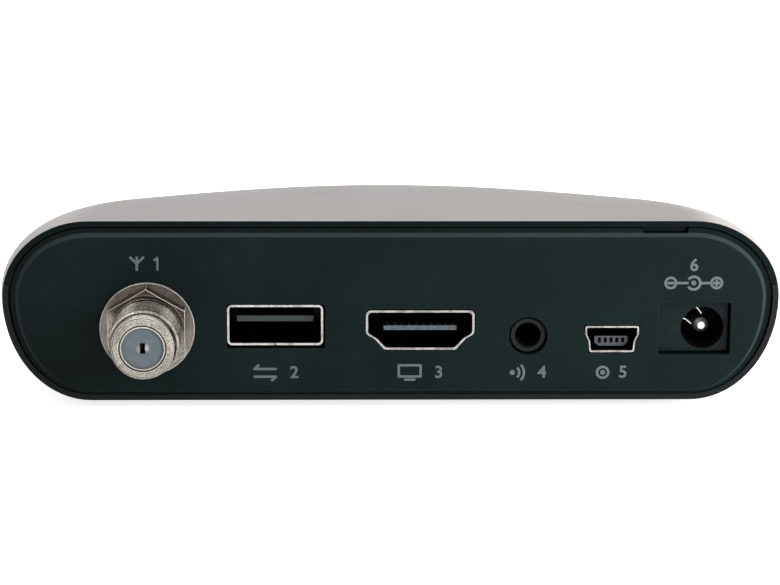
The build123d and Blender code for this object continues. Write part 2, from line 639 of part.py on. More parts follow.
def make_front_board():
    board = block(-FRONT_BOARD_HALF, FRONT_BOARD_HALF, FRONT_BOARD_BACK, FRONT_BOARD_FACE, FRONT_BOARD_LOW,
                  FRONT_BOARD_TOP)
    save("front_board", board)
    x_from, x_to, low, high = around(DISPLAY_PLACE, DISPLAY_SIZE)
    save("display_module", block(x_from, x_to, FRONT_BOARD_FACE, FRONT_BOARD_FACE + DISPLAY_DEEP, low, high))
    x_from, x_to, low, high = around(INFRARED_PLACE, INFRARED_SIZE)
    body_face = FRONT_BOARD_FACE + INFRARED_DEEP
    eye = block(x_from, x_to, FRONT_BOARD_FACE, body_face, low, high)
    dome = Pos(INFRARED_PLACE[0], y_at(body_face), z_at(INFRARED_PLACE[1])) * Sphere(INFRARED_DOME)
    save("infrared_receiver", eye + dome)
    led_face = FRONT_BOARD_FACE + LED_DEEP - LED_RADIUS
    lamp = rod(LED_RADIUS, LED_PLACE, FRONT_BOARD_FACE, led_face)
    tip = Pos(LED_PLACE[0], y_at(led_face), z_at(LED_PLACE[1])) * Sphere(LED_RADIUS)
    save("standby_light", lamp + tip)

    half_row = (HEADER_PINS - 1) / 2 * HEADER_PITCH
    row_end = half_row + HEADER_PITCH / 2
    header_from = BOARD_FRONT - HEADER_HEIGHT
    header = block(-row_end, row_end, header_from, BOARD_FRONT, BOARD_TOP, BOARD_TOP + HEADER_HEIGHT)
    for number in range(HEADER_PINS):
        x = number * HEADER_PITCH - half_row
        middle = BOARD_TOP + HEADER_HEIGHT / 2
        header = header + block(x - HEADER_PIN / 2, x + HEADER_PIN / 2, BOARD_FRONT - SLIP,
                                FRONT_BOARD_BACK - SLIP / 2, middle - HEADER_PIN / 2, middle + HEADER_PIN / 2)
    save("front_board_header", header)


def make_main_board():
    half_outline = [(BOARD_WIDE_HALF, BOARD_REAR), (BOARD_WIDE_HALF, BOARD_WIDE_TO),
                    (BOARD_MIDDLE_HALF, BOARD_WIDE_TO), (BOARD_MIDDLE_HALF, BOARD_MIDDLE_TO),
                    (BOARD_NARROW_HALF, BOARD_MIDDLE_TO), (BOARD_NARROW_HALF, BOARD_FRONT)]
    outline = half_outline + [(-x, depth) for x, depth in reversed(half_outline)]
    corners = [(x, y_at(depth), z_at(BOARD_UNDER)) for x, depth in outline]
    board = Solid.extrude(Face(Wire.make_polygon(corners, close=True)), Vector(0, 0, BOARD_THICKNESS))
    notch = AERIAL_FLANGE_RADIUS + BOARD_NOTCH_GAP
    board = board - block(AERIAL_PLACE[0] - notch, AERIAL_PLACE[0] + notch, BOARD_REAR - 1,
                          CAN_REAR + BOARD_NOTCH_GAP, 0, BOARD_TOP + 1)
    screws = []
    for place in BOARD_SCREW_PLACES:
        board = board - post(BOARD_SCREW_RADIUS + BOARD_HOLE_GAP, place, 0, BOARD_TOP + 1)
        screws.append(screw(place, BOARD_TOP, BOARD_HEAD_RADIUS, BOARD_HEAD_HEIGHT, BOARD_SCREW_RADIUS,
                            BOARD_SCREW_LENGTH))
    save("main_board", board)
    save("board_screws", *screws)


def screw(place, under_head, head_radius, head_height, shank_radius, length):
    """A pan-head screw with its head up; its driver recess is a plain cross."""
    head = post(head_radius, place, under_head, under_head + head_height)
    shank = post(shank_radius, place, under_head - length, under_head + head_height / 2)
    reach = head_radius * HEAD_RECESS_RATIO
    top = under_head + head_height
    cross = block(place[0] - reach, place[0] + reach, place[1] - reach / 4, place[1] + reach / 4,
                  top - head_height / 2, top + 1)
    cross = cross + block(place[0] - reach / 4, place[0] + reach / 4, place[1] - reach, place[1] + reach,
                          top - head_height / 2, top + 1)
    return head + shank - cross


def make_case_screws_and_feet():
    screws = []
    for place in CASE_SCREW_PLACES:
        upright = screw(place, 0.0, CASE_HEAD_RADIUS, CASE_HEAD_HEIGHT, CASE_SCREW_RADIUS, CASE_SCREW_LENGTH)
        axis = Pos(place[0], y_at(place[1]), z_at(0.0))
        turned = axis * Rot(180, 0, 0) * axis.inverse() * upright
        screws.append(Pos(0, 0, HEAD_SEAT) * turned)
    save("case_screws", *screws)
    save("rubber_feet", *[post(FOOT_RADIUS, place, -FOOT_STAND, FOOT_SEAT) for place in FOOT_PLACES])


def make_aerial_connector():
    tip = -AERIAL_REACH
    place = AERIAL_PLACE
    thread_end = NUT_FACE - AERIAL_THREAD_STOP
    neck_radius = AERIAL_THREAD_RADIUS - AERIAL_NECK_RELIEF
    barrel = rod(AERIAL_THREAD_RADIUS, place, tip + AERIAL_NOSE[-1][0], thread_end)
    barrel = barrel + rod(neck_radius, place, thread_end, CAN_REAR)
    for (near, small), (far, large) in zip(AERIAL_NOSE, AERIAL_NOSE[1:]):
        barrel = barrel + cone(small, large, place, tip + near, tip + far)
    barrel = barrel + rod(AERIAL_FLANGE_RADIUS, place, PANEL_BACK + SLIP, CAN_REAR)
    lip = AERIAL_BORE_RADIUS + AERIAL_LIP
    groove = rod(lip + AERIAL_GROOVE, place, tip - 1, tip + AERIAL_GROOVE_DEEP) - rod(lip, place, tip - 2, 0)
    save("aerial_barrel", barrel - groove - rod(AERIAL_BORE_RADIUS, place, tip - 1, CAN_REAR + 1))

    core = rod(AERIAL_BORE_RADIUS - SLIP, place, tip + AERIAL_SINK, CAN_REAR + CAN_WALL)
    slot_from, slot_to, low, high = around(place, SLOT_SIZE)
    slot = block(slot_from, slot_to, tip - 1, tip + SLOT_DEEP, low, high)
    save("aerial_insulator", core - slot)
    leaves = []
    for side in (1, -1):
        wall_x = place[0] + side * (SLOT_SIZE[0] / 2 - SLIP / 2)
        leaves.append(block(wall_x, wall_x - side * CONTACT_LEAF, tip + SLOT_DEEP / 4, tip + SLOT_DEEP,
                            low + CONTACT_LEAF, high - CONTACT_LEAF))
    save("aerial_contact", *leaves)

    washer_hole = rod(AERIAL_THREAD_RADIUS + SLIP, place, WASHER_FACE - 1, PANEL_FACE + 1)
    save("aerial_washer", rod(WASHER_RADIUS, place, WASHER_FACE, PANEL_FACE) - washer_hole)
    corner = NUT_ACROSS_FLATS / math.sqrt(3)
    turns = [2 * math.pi * k / NUT_SIDES for k in range(NUT_SIDES)]
    points = [(place[0] + corner * math.sin(turn), place[1] + corner * math.cos(turn)) for turn in turns]
    nut = profile(points, NUT_FACE, WASHER_FACE)
    taper = (corner - NUT_ACROSS_FLATS / 2) * math.tan(NUT_CROWN)
    crown = rod(corner, place, NUT_FACE + taper, WASHER_FACE)
    crown = crown + cone(NUT_ACROSS_FLATS / 2, corner, place, NUT_FACE, NUT_FACE + taper)
    bore_radius = neck_radius + SLIP
    nut = (nut & crown) - rod(bore_radius, place, NUT_FACE - 1, WASHER_FACE + 1)
    mouth = cone(bore_radius + NUT_COUNTERSINK, bore_radius, place, NUT_FACE, NUT_FACE + NUT_COUNTERSINK)
    save("aerial_nut", nut - mouth)


def leaf_spring(x, width, depth, floor):
    """A spring pressed up from the floor of a socket's shell."""
    points = [(depth, floor), (depth + SPRING_LONG / 4, floor + SPRING_RISE), (depth + SPRING_LONG, floor)]
    return side_profile(points, x - width / 2, x + width / 2)


def make_usb_socket():
    x, height = USB_PLACE
    back = USB_FRONT + USB_LONG
    half_x, half_z = USB_SIZE[0] / 2, USB_SIZE[1] / 2
    outside = [(x - half_x, height - half_z), (x + half_x, height - half_z), (x + half_x, height + half_z),
               (x - half_x, height + half_z)]
    in_x, in_z = half_x - USB_WALL, half_z - USB_WALL
    inside = [(x - in_x, height - in_z), (x + in_x, height - in_z), (x + in_x, height + in_z),
              (x - in_x, height + in_z)]
    shell = profile(outside, USB_FRONT, back, USB_CORNER)
    shell = shell - profile(inside, USB_FRONT - 1, back - USB_WALL, USB_CORNER - USB_WALL)
    shell = shell - block(x - USB_SEAM / 2, x + USB_SEAM / 2, USB_FRONT - 1, back - 2 * USB_WALL,
                          height - half_z - 1, height - in_z + SLIP)
    floor = height - in_z
    for place in USB_SPRING_PLACES:
        shell = shell + leaf_spring(x + place, SPRING_WIDTH, USB_FRONT + SPRING_RISE, floor - USB_WALL / 2)
    for side in (1, -1):
        for depth in [USB_LONG * share for share in USB_LEG_SHARES]:
            edge = x + side * half_x
            shell = shell + block(edge, edge - side * USB_WALL, depth - LEG_WIDTH / 2, depth + LEG_WIDTH / 2,
                                  BOARD_TOP, height)
    save("usb_shell", shell)
    tongue_from, tongue_to, low, high = around((x, USB_TONGUE_HEIGHT), USB_TONGUE_SIZE)
    tongue = block(tongue_from, tongue_to, USB_FRONT + USB_TONGUE_BACK, back - USB_WALL - SLIP, low, high)
    heel = block(x - in_x + SLIP, x + in_x - SLIP, back - USB_WALL - LEG_WIDTH, back - USB_WALL - SLIP,
                 floor + USB_CORNER, height + in_z - USB_CORNER)
    save("usb_tongue", tongue + heel)
    strip_front, strip_back = USB_FRONT + 2 * USB_TONGUE_BACK, back - USB_WALL - LEG_WIDTH - SLIP
    strips = [block(x + place - USB_CONTACT_WIDTH / 2, x + place + USB_CONTACT_WIDTH / 2, strip_front,
                    strip_back, low - CONTACT_LEAF, low)
              for place in USB_CONTACT_PLACES]
    save("usb_contacts", *strips)


def make_shaped_socket(name, outline, place, front, long, wall, corner, tongue_size, tongue_height, contacts):
    """A folded shell that follows an outline, its tongue and the contacts on the tongue."""
    back = front + long
    shell = profile(moved(outline, place), front, back, corner)
    shell = shell - profile(moved(grown(outline, -wall), place), front - 1, back - wall, corner - wall / 2)
    floor = min(h for _, h in outline)
    if name == "hdmi":
        for offset in HDMI_SPRING_PLACES:
            shell = shell + leaf_spring(place + offset, HDMI_SPRING_WIDTH, front + SPRING_RISE,
                                        floor + wall / 2)
    save(name + "_shell", shell)
    tongue_from, tongue_to, low, high = around((place, tongue_height), tongue_size)
    tongue_front = front + tongue_size[1]
    count, pitch, width, slot = contacts
    bevel = MINI_TONGUE_BEVEL if slot else SLIP
    outline = [(tongue_from, high), (tongue_from, low + bevel), (tongue_from + bevel, low),
               (tongue_to - bevel, low), (tongue_to, low + bevel), (tongue_to, high)]
    tongue = profile(outline, tongue_front, back - wall - SLIP)
    strips = []
    for number in range(count):
        x = place + (number - (count - 1) / 2) * pitch
        strip_front = tongue_front + tongue_size[1]
        strip_low = high if number % 2 == 0 else low - CONTACT_LEAF
        if slot:
            wide, tall, deep = slot
            strip_front = tongue_front + deep / 2
            slot_low = high - wide / 2 - tall
            strip_low = slot_low
            tongue = tongue - block(x - wide / 2, x + wide / 2, tongue_front - 1, tongue_front + deep,
                                    slot_low, slot_low + tall)
        strip_back = tongue_front + slot[2] if slot else back - wall - LEG_WIDTH
        strips.append(block(x - width / 2, x + width / 2, strip_front, strip_back, strip_low,
                            strip_low + CONTACT_LEAF))
    save(name + "_tongue", tongue)
    save(name + "_contacts", *strips)


def make_jack():
    body_back = JACK_BODY_FRONT + JACK_LONG
    bush = rod(JACK_BUSH_RADIUS, JACK_PLACE, JACK_FRONT, JACK_BODY_FRONT)
    bore = rod(JACK_BORE_RADIUS, JACK_PLACE, JACK_FRONT - 1, body_back - WALL)
    save("av_jack_bushing", bush - bore)
    body = block(JACK_PLACE[0] - JACK_WIDTH / 2, JACK_PLACE[0] + JACK_WIDTH / 2, JACK_BODY_FRONT, body_back,
                 BOARD_TOP, BOARD_TOP + JACK_TALL)
    body = body - bore
    wide, thick, tall = JACK_SPRING
    springs = []
    for number, depth in enumerate(JACK_SPRING_DEPTHS):
        side = 1 if number % 2 == 0 else -1
        x = JACK_PLACE[0] + side * (JACK_BORE_RADIUS + thick)
        low, high = JACK_PLACE[1] - tall / 2, JACK_PLACE[1] + tall / 2
        body = body - block(x + side * (thick + SLIP), x - side * 2 * thick, depth - wide / 2 - SLIP,
                            depth + wide / 2 + SLIP, low - SLIP, high + SLIP)
        springs.append(block(x, x + side * thick, depth - wide / 2, depth + wide / 2, low, high))
    save("av_jack_body", body)
    save("av_jack_contacts", *springs)


def power_spring():
    """The bent leaf that presses on the plug, turned about the hole's axis."""
    x, height = POWER_HOLE_PLACE
    inner = [(POWER_FRONT + depth, height + radius) for depth, radius in POWER_SPRING_BENDS]
    outer = [(depth, up + POWER_SPRING_THICKNESS) for depth, up in inner]
    leaf = side_profile(inner + outer[::-1], x - POWER_SPRING_WIDTH / 2, x + POWER_SPRING_WIDTH / 2)
    axis = Pos(x, 0, z_at(height))
    return axis * Rot(0, 90 - POWER_SPRING_ANGLE, 0) * axis.inverse() * leaf


def make_power_jack():
    back = POWER_FRONT + POWER_LONG
    out, inwards, down, up = POWER_CUT_GAPS
    low = max(BOARD_TOP, POWER_CUT[2] + down)
    body = block(POWER_CUT[0] + out, POWER_CUT[1] - inwards, POWER_FRONT, back, low, POWER_CUT[3] - up)
    body = body - rod(POWER_HOLE_RADIUS, POWER_HOLE_PLACE, POWER_FRONT - 1, POWER_FRONT + POWER_HOLE_DEEP)
    body = body - rod(POWER_PIN_RADIUS + SLIP, POWER_HOLE_PLACE, POWER_FRONT, back + 1)
    leaf = power_spring()
    save("power_jack_body", body - leaf)
    save("power_jack_spring", leaf)
    pin = rod(POWER_PIN_RADIUS, POWER_HOLE_PLACE, POWER_PIN_FRONT + POWER_PIN_RADIUS / 2, back)
    tip = cone(POWER_PIN_RADIUS / 2, POWER_PIN_RADIUS, POWER_HOLE_PLACE, POWER_PIN_FRONT,
               POWER_PIN_FRONT + POWER_PIN_RADIUS / 2)
    save("power_jack_pin", pin + tip)


def make_tuner():
    can_to = CAN_REAR + CAN_LONG
    top = BOARD_TOP + CAN_HEIGHT
    can = block(CAN_FROM, CAN_TO, CAN_REAR, can_to, BOARD_TOP, top)
    can = can - block(CAN_FROM + CAN_WALL, CAN_TO - CAN_WALL, CAN_REAR + CAN_WALL, can_to - CAN_WALL,
                      BOARD_TOP - 1, top + 1)
    save("tuner_can", can - rod(AERIAL_BORE_RADIUS, AERIAL_PLACE, CAN_REAR - 1, CAN_REAR + CAN_WALL))
    skirt_out = CAN_WALL + SLIP
    lid = block(CAN_FROM + skirt_out, CAN_TO - skirt_out, CAN_REAR + skirt_out, can_to - skirt_out,
                top - LID_SKIRT, top)
    lid = lid - block(CAN_FROM + skirt_out + CAN_WALL, CAN_TO - skirt_out - CAN_WALL,
                      CAN_REAR + skirt_out + CAN_WALL, can_to - skirt_out - CAN_WALL, 0, top)
    lid = lid + block(CAN_FROM, CAN_TO, CAN_REAR, can_to, top + SLIP / 2, top + SLIP / 2 + CAN_WALL)
    lid = lid + block(CAN_FROM + skirt_out, CAN_TO - skirt_out, CAN_REAR + skirt_out, can_to - skirt_out, top,
                      top + CAN_WALL)
    save("tuner_lid", lid)
    middle = ((CAN_FROM + CAN_TO) / 2, CAN_REAR + CAN_LONG / 2)
    save("tuner_chip", slab_at(middle, TUNER_CHIP, BOARD_TOP))


def make_board_parts():
    save("processor_chip", slab_at(PROCESSOR_PLACE, PROCESSOR_SIZE, BOARD_TOP))
    pad_low = BOARD_TOP + PROCESSOR_SIZE[2]
    pad_size = (PROCESSOR_SIZE[0], PROCESSOR_SIZE[1], PAD_THICKNESS)
    save("thermal_pad", slab_at(PROCESSOR_PLACE, pad_size, pad_low))
    sink_low = pad_low + PAD_THICKNESS
    sink = slab_at(PROCESSOR_PLACE, (SINK_SIZE[0], SINK_SIZE[1], SINK_BASE), sink_low)
    fins = int((SINK_SIZE[0] - SINK_FIN) / SINK_FIN_PITCH) + 1
    for number in range(fins):
        x = PROCESSOR_PLACE[0] + (number - (fins - 1) / 2) * SINK_FIN_PITCH
        sink = sink + slab_at((x, PROCESSOR_PLACE[1]), (SINK_FIN, SINK_SIZE[1], SINK_SIZE[2]), sink_low)
    save("heat_sink", sink)
    save("memory_chip", slab_at(MEMORY_PLACE, MEMORY_SIZE, BOARD_TOP))
    save("flash_chip", slab_at(FLASH_PLACE, FLASH_SIZE, BOARD_TOP))
    crystal = slab_at(CRYSTAL_PLACE, CRYSTAL_SIZE, BOARD_TOP)
    save("quartz_crystal", crystal.fillet(CRYSTAL_CORNER, crystal.edges().filter_by(Axis.Z)))
    capacitor_top = BOARD_TOP + CAPACITOR_HEIGHT
    save("electrolytic_capacitors",
         *[post(CAPACITOR_RADIUS, place, BOARD_TOP, capacitor_top) for place in CAPACITOR_PLACES])
    save("power_inductors", *[slab_at(place, INDUCTOR_SIZE, BOARD_TOP) for place in INDUCTOR_PLACES])
    save("voltage_regulators", *[slab_at(place, REGULATOR_SIZE, BOARD_TOP) for place in REGULATOR_PLACES])
    first = PROCESSOR_PLACE[0] - (CHIP_CAPACITOR_ROW - 1) / 2 * CHIP_CAPACITOR_PITCH
    chips = [slab_at((first + number * CHIP_CAPACITOR_PITCH, depth), CHIP_CAPACITOR, BOARD_TOP)
             for depth in CHIP_CAPACITOR_DEPTHS for number in range(CHIP_CAPACITOR_ROW)]
    save("ceramic_capacitors", *chips)


def main():
    make_shells()
    make_rear_panel()
    make_front()
    make_front_board()
    make_main_board()
    make_case_screws_and_feet()
    make_aerial_connector()
    make_usb_socket()
    make_shaped_socket("hdmi", HDMI_OUTLINE, HDMI_PLACE, HDMI_FRONT, HDMI_LONG, HDMI_WALL, HDMI_CORNER,
                       HDMI_TONGUE_SIZE, HDMI_TONGUE_HEIGHT,
                       (HDMI_CONTACT_COUNT, HDMI_CONTACT_PITCH, HDMI_CONTACT_WIDTH, None))
    make_jack()
    make_shaped_socket("mini_usb", MINI_OUTLINE, MINI_PLACE, MINI_FRONT, MINI_LONG, MINI_WALL, MINI_CORNER,
                       MINI_TONGUE_SIZE, MINI_TONGUE_HEIGHT,
                       (MINI_CONTACT_COUNT, MINI_CONTACT_PITCH, MINI_CONTACT_WIDTH, MINI_SLOT))
    make_power_jack()
    make_tuner()
    make_board_parts()
    os.makedirs("parts", exist_ok=True)
    for name, solids in parts.items():
        export_step(solids[0] if len(solids) == 1 else Compound(children=solids), f"parts/{name}.step")
    print(len(parts), "nodes,", sum(len(solids) for solids in parts.values()), "solids")


main()
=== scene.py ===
"""Looks of a compact satellite TV receiver: finishes, printed marks, thread and trim around its CAD."""

import json
import math

import bmesh
import bpy
from bpy.props import FloatProperty, FloatVectorProperty
from mathutils import Matrix, Vector
from mathutils.bvhtree import BVHTree


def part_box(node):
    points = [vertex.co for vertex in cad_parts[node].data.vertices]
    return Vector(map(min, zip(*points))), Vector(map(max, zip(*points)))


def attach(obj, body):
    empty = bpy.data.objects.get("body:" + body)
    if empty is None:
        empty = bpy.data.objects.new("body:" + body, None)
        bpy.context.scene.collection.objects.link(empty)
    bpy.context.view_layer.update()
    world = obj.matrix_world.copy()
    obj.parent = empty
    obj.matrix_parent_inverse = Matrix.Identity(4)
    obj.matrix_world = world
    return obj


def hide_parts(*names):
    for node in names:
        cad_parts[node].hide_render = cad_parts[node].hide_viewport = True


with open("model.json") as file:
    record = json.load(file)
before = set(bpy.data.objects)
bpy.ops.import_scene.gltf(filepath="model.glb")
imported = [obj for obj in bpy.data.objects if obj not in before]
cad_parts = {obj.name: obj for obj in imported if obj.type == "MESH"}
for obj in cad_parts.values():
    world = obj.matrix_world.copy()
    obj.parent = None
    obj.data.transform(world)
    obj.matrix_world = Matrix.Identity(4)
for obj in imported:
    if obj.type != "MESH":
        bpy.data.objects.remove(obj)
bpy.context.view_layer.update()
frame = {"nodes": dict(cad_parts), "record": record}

bl_info = {
    "name": "Satellite receiver finishes",
    "version": (1, 0, 0),
    "blender": (4, 5, 0),
    "location": "3D View > Sidebar > Receiver",
    "description": "Builds the looks of a compact satellite TV receiver around its CAD model",
    "category": "Object",
}

MM = 0.001
BODY = "receiver"


SMOOTH_ANGLE = 35.0         # an edge that turns by more degrees than this stays sharp
SAME_PLACE = 1e-7           # vertices nearer than this are one, in metres


def face_y(node):
    """Y of a node's rearmost face."""
    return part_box(node)[1].y


def middle(node):
    """X and Z of the middle of a node's box."""
    low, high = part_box(node)
    return (low.x + high.x) / 2, (low.z + high.z) / 2


PANEL_FACE_Y = face_y("rear_panel")
RIM_Y = face_y("upper_shell")
JACK_FACE_Y = face_y("power_jack_body")
AERIAL = Vector((middle("aerial_barrel")[0], 0, middle("aerial_barrel")[1]))
AERIAL_TIP_Y = face_y("aerial_barrel")
USB_X, HDMI_X, SOUND_X, MINI_X = (middle(node)[0] for node in
                                  ("usb_shell", "hdmi_shell", "av_jack_bushing", "mini_usb_shell"))


def srgb(red, green, blue):
    """A colour given in 0-255 display values, as the linear values that shaders take."""
    def linear(value):
        share = value / 255
        return share / 12.92 if share <= 0.04045 else ((share + 0.055) / 1.055) ** 2.4
    return (linear(red), linear(green), linear(blue))


# ---------------------------------------------------------------- settings
class CoverSettings(bpy.types.PropertyGroup):
    """The lacquered upper cover."""
    colour: FloatVectorProperty(name="Lacquer", description="Colour of the cover's lacquer", subtype="COLOR",
                                default=srgb(128, 123, 119), min=0, max=1)
    gloss: FloatProperty(name="Roughness", description="Roughness of the lacquer", default=0.34, min=0, max=1)


class PanelSettings(bpy.types.PropertyGroup):
    """The moulded rear panel, whose black is also on the cover's bare rim."""
    colour: FloatVectorProperty(name="Panel black", description="Colour of the rear panel", subtype="COLOR",
                                default=srgb(12, 24, 24), min=0, max=1)
    grain: FloatProperty(name="Grain size", description="Size of the moulded grain", subtype="DISTANCE",
                         default=0.22 * MM, min=0.05 * MM, max=2 * MM)


class MetalSettings(bpy.types.PropertyGroup):
    """The aerial connector's nickel and its thread."""
    colour: FloatVectorProperty(name="Nickel", description="Colour of the nickel plating", subtype="COLOR",
                                default=srgb(190, 183, 172), min=0, max=1)
    thread_pitch: FloatProperty(name="Thread pitch", description="Pitch of the aerial thread",
                                subtype="DISTANCE", default=0.794 * MM, min=0.3 * MM, max=2 * MM)
    thread_depth: FloatProperty(name="Thread depth", description="Depth of the aerial thread",
                                subtype="DISTANCE", default=0.3 * MM, min=0.1 * MM, max=1 * MM)


class MarkSettings(bpy.types.PropertyGroup):
    """The printed socket numbers, pictograms and key marks."""
    colour: FloatVectorProperty(name="Ink", description="Colour of the printed marks", subtype="COLOR",
                                default=srgb(86, 95, 95), min=0, max=1)
    line: FloatProperty(name="Line", description="Width of a pictogram's line", subtype="DISTANCE",
                        default=0.34 * MM, min=0.1 * MM, max=1 * MM)
    numeral: FloatProperty(name="Numeral height", description="Height of a socket number", subtype="DISTANCE",
                           default=1.75 * MM, min=1 * MM, max=4 * MM)


# ---------------------------------------------------------------- shader maths
class Link:
    """A socket or a number in a node tree, with the usual operators as Math nodes."""

    def __init__(self, tree, value):
        self.tree = tree
        self.value = value

    def node(self, kind, settings=(), inputs=(), output=0):
        """Adds a node with its settings first, then its sockets' values or links, and returns an output."""
        made = self.tree.nodes.new(kind)
        for name, value in dict(settings).items():
            setattr(made, name, value)
        for name, value in dict(inputs).items():
            plug(self.tree, value, made.inputs[name])
        return Link(self.tree, made.outputs[output])

    def maths(self, operation, other=None):
        """A Math node on this value, or on it and another."""
        operands = {0: self} if other is None else {0: self, 1: other}
        return self.node("ShaderNodeMath", {"operation": operation}, operands)

    def __add__(self, other):
        return self.maths("ADD", other)

    def __mul__(self, other):
        return self.maths("MULTIPLY", other)

    def __sub__(self, other):
        return self.maths("SUBTRACT", other)

    def __rsub__(self, other):
        return Link(self.tree, other).maths("SUBTRACT", self)

    def ranged(self, low, high):
        """From 0..1 to low..high."""
        return self * (high - low) + low

    def around(self, centre, spread):
        """From 0..1 to a spread on both sides of a centre."""
        return self.ranged(centre - spread, centre + spread)

    def smooth(self, low, high):
        """0 below low, 1 above high and a smooth step between."""
        return self.node("ShaderNodeMapRange", {"interpolation_type": "SMOOTHSTEP", "clamp": True},
                         {"Value": self, "From Min": low, "From Max": high, "To Min": 0.0, "To Max": 1.0})

    def mix(self, first, second):
        """Mixes two colours by this factor."""
        return self.node("ShaderNodeMix", {"data_type": "RGBA"}, {0: self, 6: first, 7: second}, 2)


def plug(tree, value, socket):
    """Puts a number, a colour, a socket or a Link into a node's input."""
    source = value.value if isinstance(value, Link) else value
    if isinstance(source, bpy.types.NodeSocket):
        tree.links.new(source, socket)
        return
    if socket.type == "RGBA" and not hasattr(source, "__len__"):
        source = (source, source, source)
    if socket.type == "RGBA" and len(source) == 3:
        source = (*source, 1.0)
    socket.default_value = source


class Finish:
    """A material under construction: its tree, its surface shader and its object coordinates."""

    def __init__(self, name):
        self.material = bpy.data.materials.new(name)
        self.material.use_nodes = True
        self.tree = self.material.node_tree
        self.shader = self.tree.nodes["Principled BSDF"]
        self.place = self.node("ShaderNodeTexCoord", {}, {}, "Object")

    def set(self, **values):
        """Sets the shader's sockets; an underscore in a name stands for a space."""
        for name, value in values.items():
            plug(self.tree, value, self.shader.inputs[name.replace("_", " ")])

    def node(self, kind, settings=(), inputs=(), output=0):
        """Adds a node to the material and returns one of its outputs."""
        return Link(self.tree, 0.0).node(kind, settings, inputs, output)

    def noise(self, size, detail=2.0, roughness=0.5, stretch=(1, 1, 1)):
        """A noise over the object, its features this size in metres, from 0 to 1."""
        place = self.node("ShaderNodeMapping", {}, {"Vector": self.place, "Scale": stretch})
        return self.node("ShaderNodeTexNoise", {}, {"Vector": place, "Scale": 1 / size, "Detail": detail,
                                                    "Roughness": roughness})

    def cells(self, size):
        """A cell pattern over the object with cells of this size in metres."""
        return self.node("ShaderNodeTexVoronoi", {}, {"Vector": self.place, "Scale": 1 / size}, "Distance")

    def axis(self, letter):
        """One coordinate of the object's own space, in metres."""
        return self.node("ShaderNodeSeparateXYZ", {}, {0: self.place}, letter)

    def facing(self, letter):
        """One coordinate of the surface's own direction."""
        flat = self.node("ShaderNodeTexCoord", {}, {}, "Normal")
        return self.node("ShaderNodeSeparateXYZ", {}, {0: flat}, letter)

    def facing_rear(self, low=0.5, high=0.8):
        """1 where a surface faces the connectors' side."""
        return self.facing("Y").smooth(low, high)

    def vectors(self, operation, *operands, output="Vector"):
        """A Vector Math node."""
        return self.node("ShaderNodeVectorMath", {"operation": operation}, dict(enumerate(operands)), output)

    def bump(self, height, strength, distance, under=None):
        """A bump that feeds the normal."""
        inputs = {"Height": height, "Strength": strength, "Distance": distance}
        if under is not None:
            inputs["Normal"] = under
        self.set(Normal=self.node("ShaderNodeBump", {}, inputs))

    def edge_round(self, radius):
        """A normal that looks rounded over sharp edges."""
        return self.node("ShaderNodeBevel", {"samples": 4}, {"Radius": radius})

    def edge_mask(self, rounded, low=0.01, high=0.12):
        """1 along sharp edges and 0 on the flat, from a rounded normal."""
        flat = self.node("ShaderNodeNewGeometry", {}, {}, "Normal")
        return (1.0 - self.vectors("DOT_PRODUCT", rounded, flat, output="Value")).smooth(low, high)

    def outwards(self, centre):
        """The way out from an axis along Y through a centre, in metres."""
        offset = self.vectors("SUBTRACT", self.place, (centre.x, 0.0, centre.z))
        return self.vectors("MULTIPLY", offset, (1, 0, 1))

    def off_axis(self, centre):
        """Distance from an axis along Y through a centre, in metres."""
        return self.vectors("LENGTH", self.outwards(centre), output="Value")

    def sector(self, centre, right, up, low, high):
        """1 in a sector about an axis along Y, towards (right, up) as seen from the connectors' side."""
        way = self.vectors("NORMALIZE", self.outwards(centre))
        towards = Vector((-right, 0, up)).normalized()
        return self.vectors("DOT_PRODUCT", way, towards, output="Value").smooth(low, high)

    def deeper(self, plane, start, full):
        """0 at a plane across Y, and 1 from a full depth behind it, in metres."""
        return 1.0 - self.axis("Y").smooth(plane - full, plane - start)


def tinted(colour, factor):
    """A colour made lighter or darker by a factor."""
    return tuple(min(1.0, channel * factor) for channel in colour)


# ---------------------------------------------------------------- materials
def cover_lacquer(settings, rim_black):
    """Warm grey satin lacquer with a fine orange peel, and a painted highlight that makes it lighter towards
    the sides and along its rear lip; what faces the rear is left bare and black."""
    f = Finish("cover_lacquer")
    cloud = f.noise(18 * MM, 3.0, 0.55).smooth(0.3, 0.7)
    peel = f.noise(0.9 * MM)
    painted_side_sheen = f.facing("X").maths("ABSOLUTE").smooth(0.0, 0.3)
    beyond_lip_highlight = f.deeper(RIM_Y, LIP_HIGHLIGHT, 1.3 * LIP_HIGHLIGHT)
    bare = f.facing_rear()
    shade = cloud.mix(tinted(settings.colour, 0.97), tinted(settings.colour, 1.03))
    # painted highlight: the lacquer is painted lighter where it faces sideways
    shade = painted_side_sheen.mix(shade, tinted(settings.colour, 1.9))
    # painted highlight: a lighter band along the cover's rear lip
    shade = beyond_lip_highlight.mix(tinted(settings.colour, 1.5), shade)
    shade = bare.mix(shade, tinted(rim_black, 0.6))
    f.set(Base_Color=shade, Roughness=cloud.around(settings.gloss, 0.03), Coat_Weight=(1.0 - bare) * 0.12,
          Coat_Roughness=0.16, Specular_IOR_Level=0.07)
    f.bump(peel, 0.05, 0.02 * MM, f.edge_round(EDGE_ROUND / 2))
    return f.material


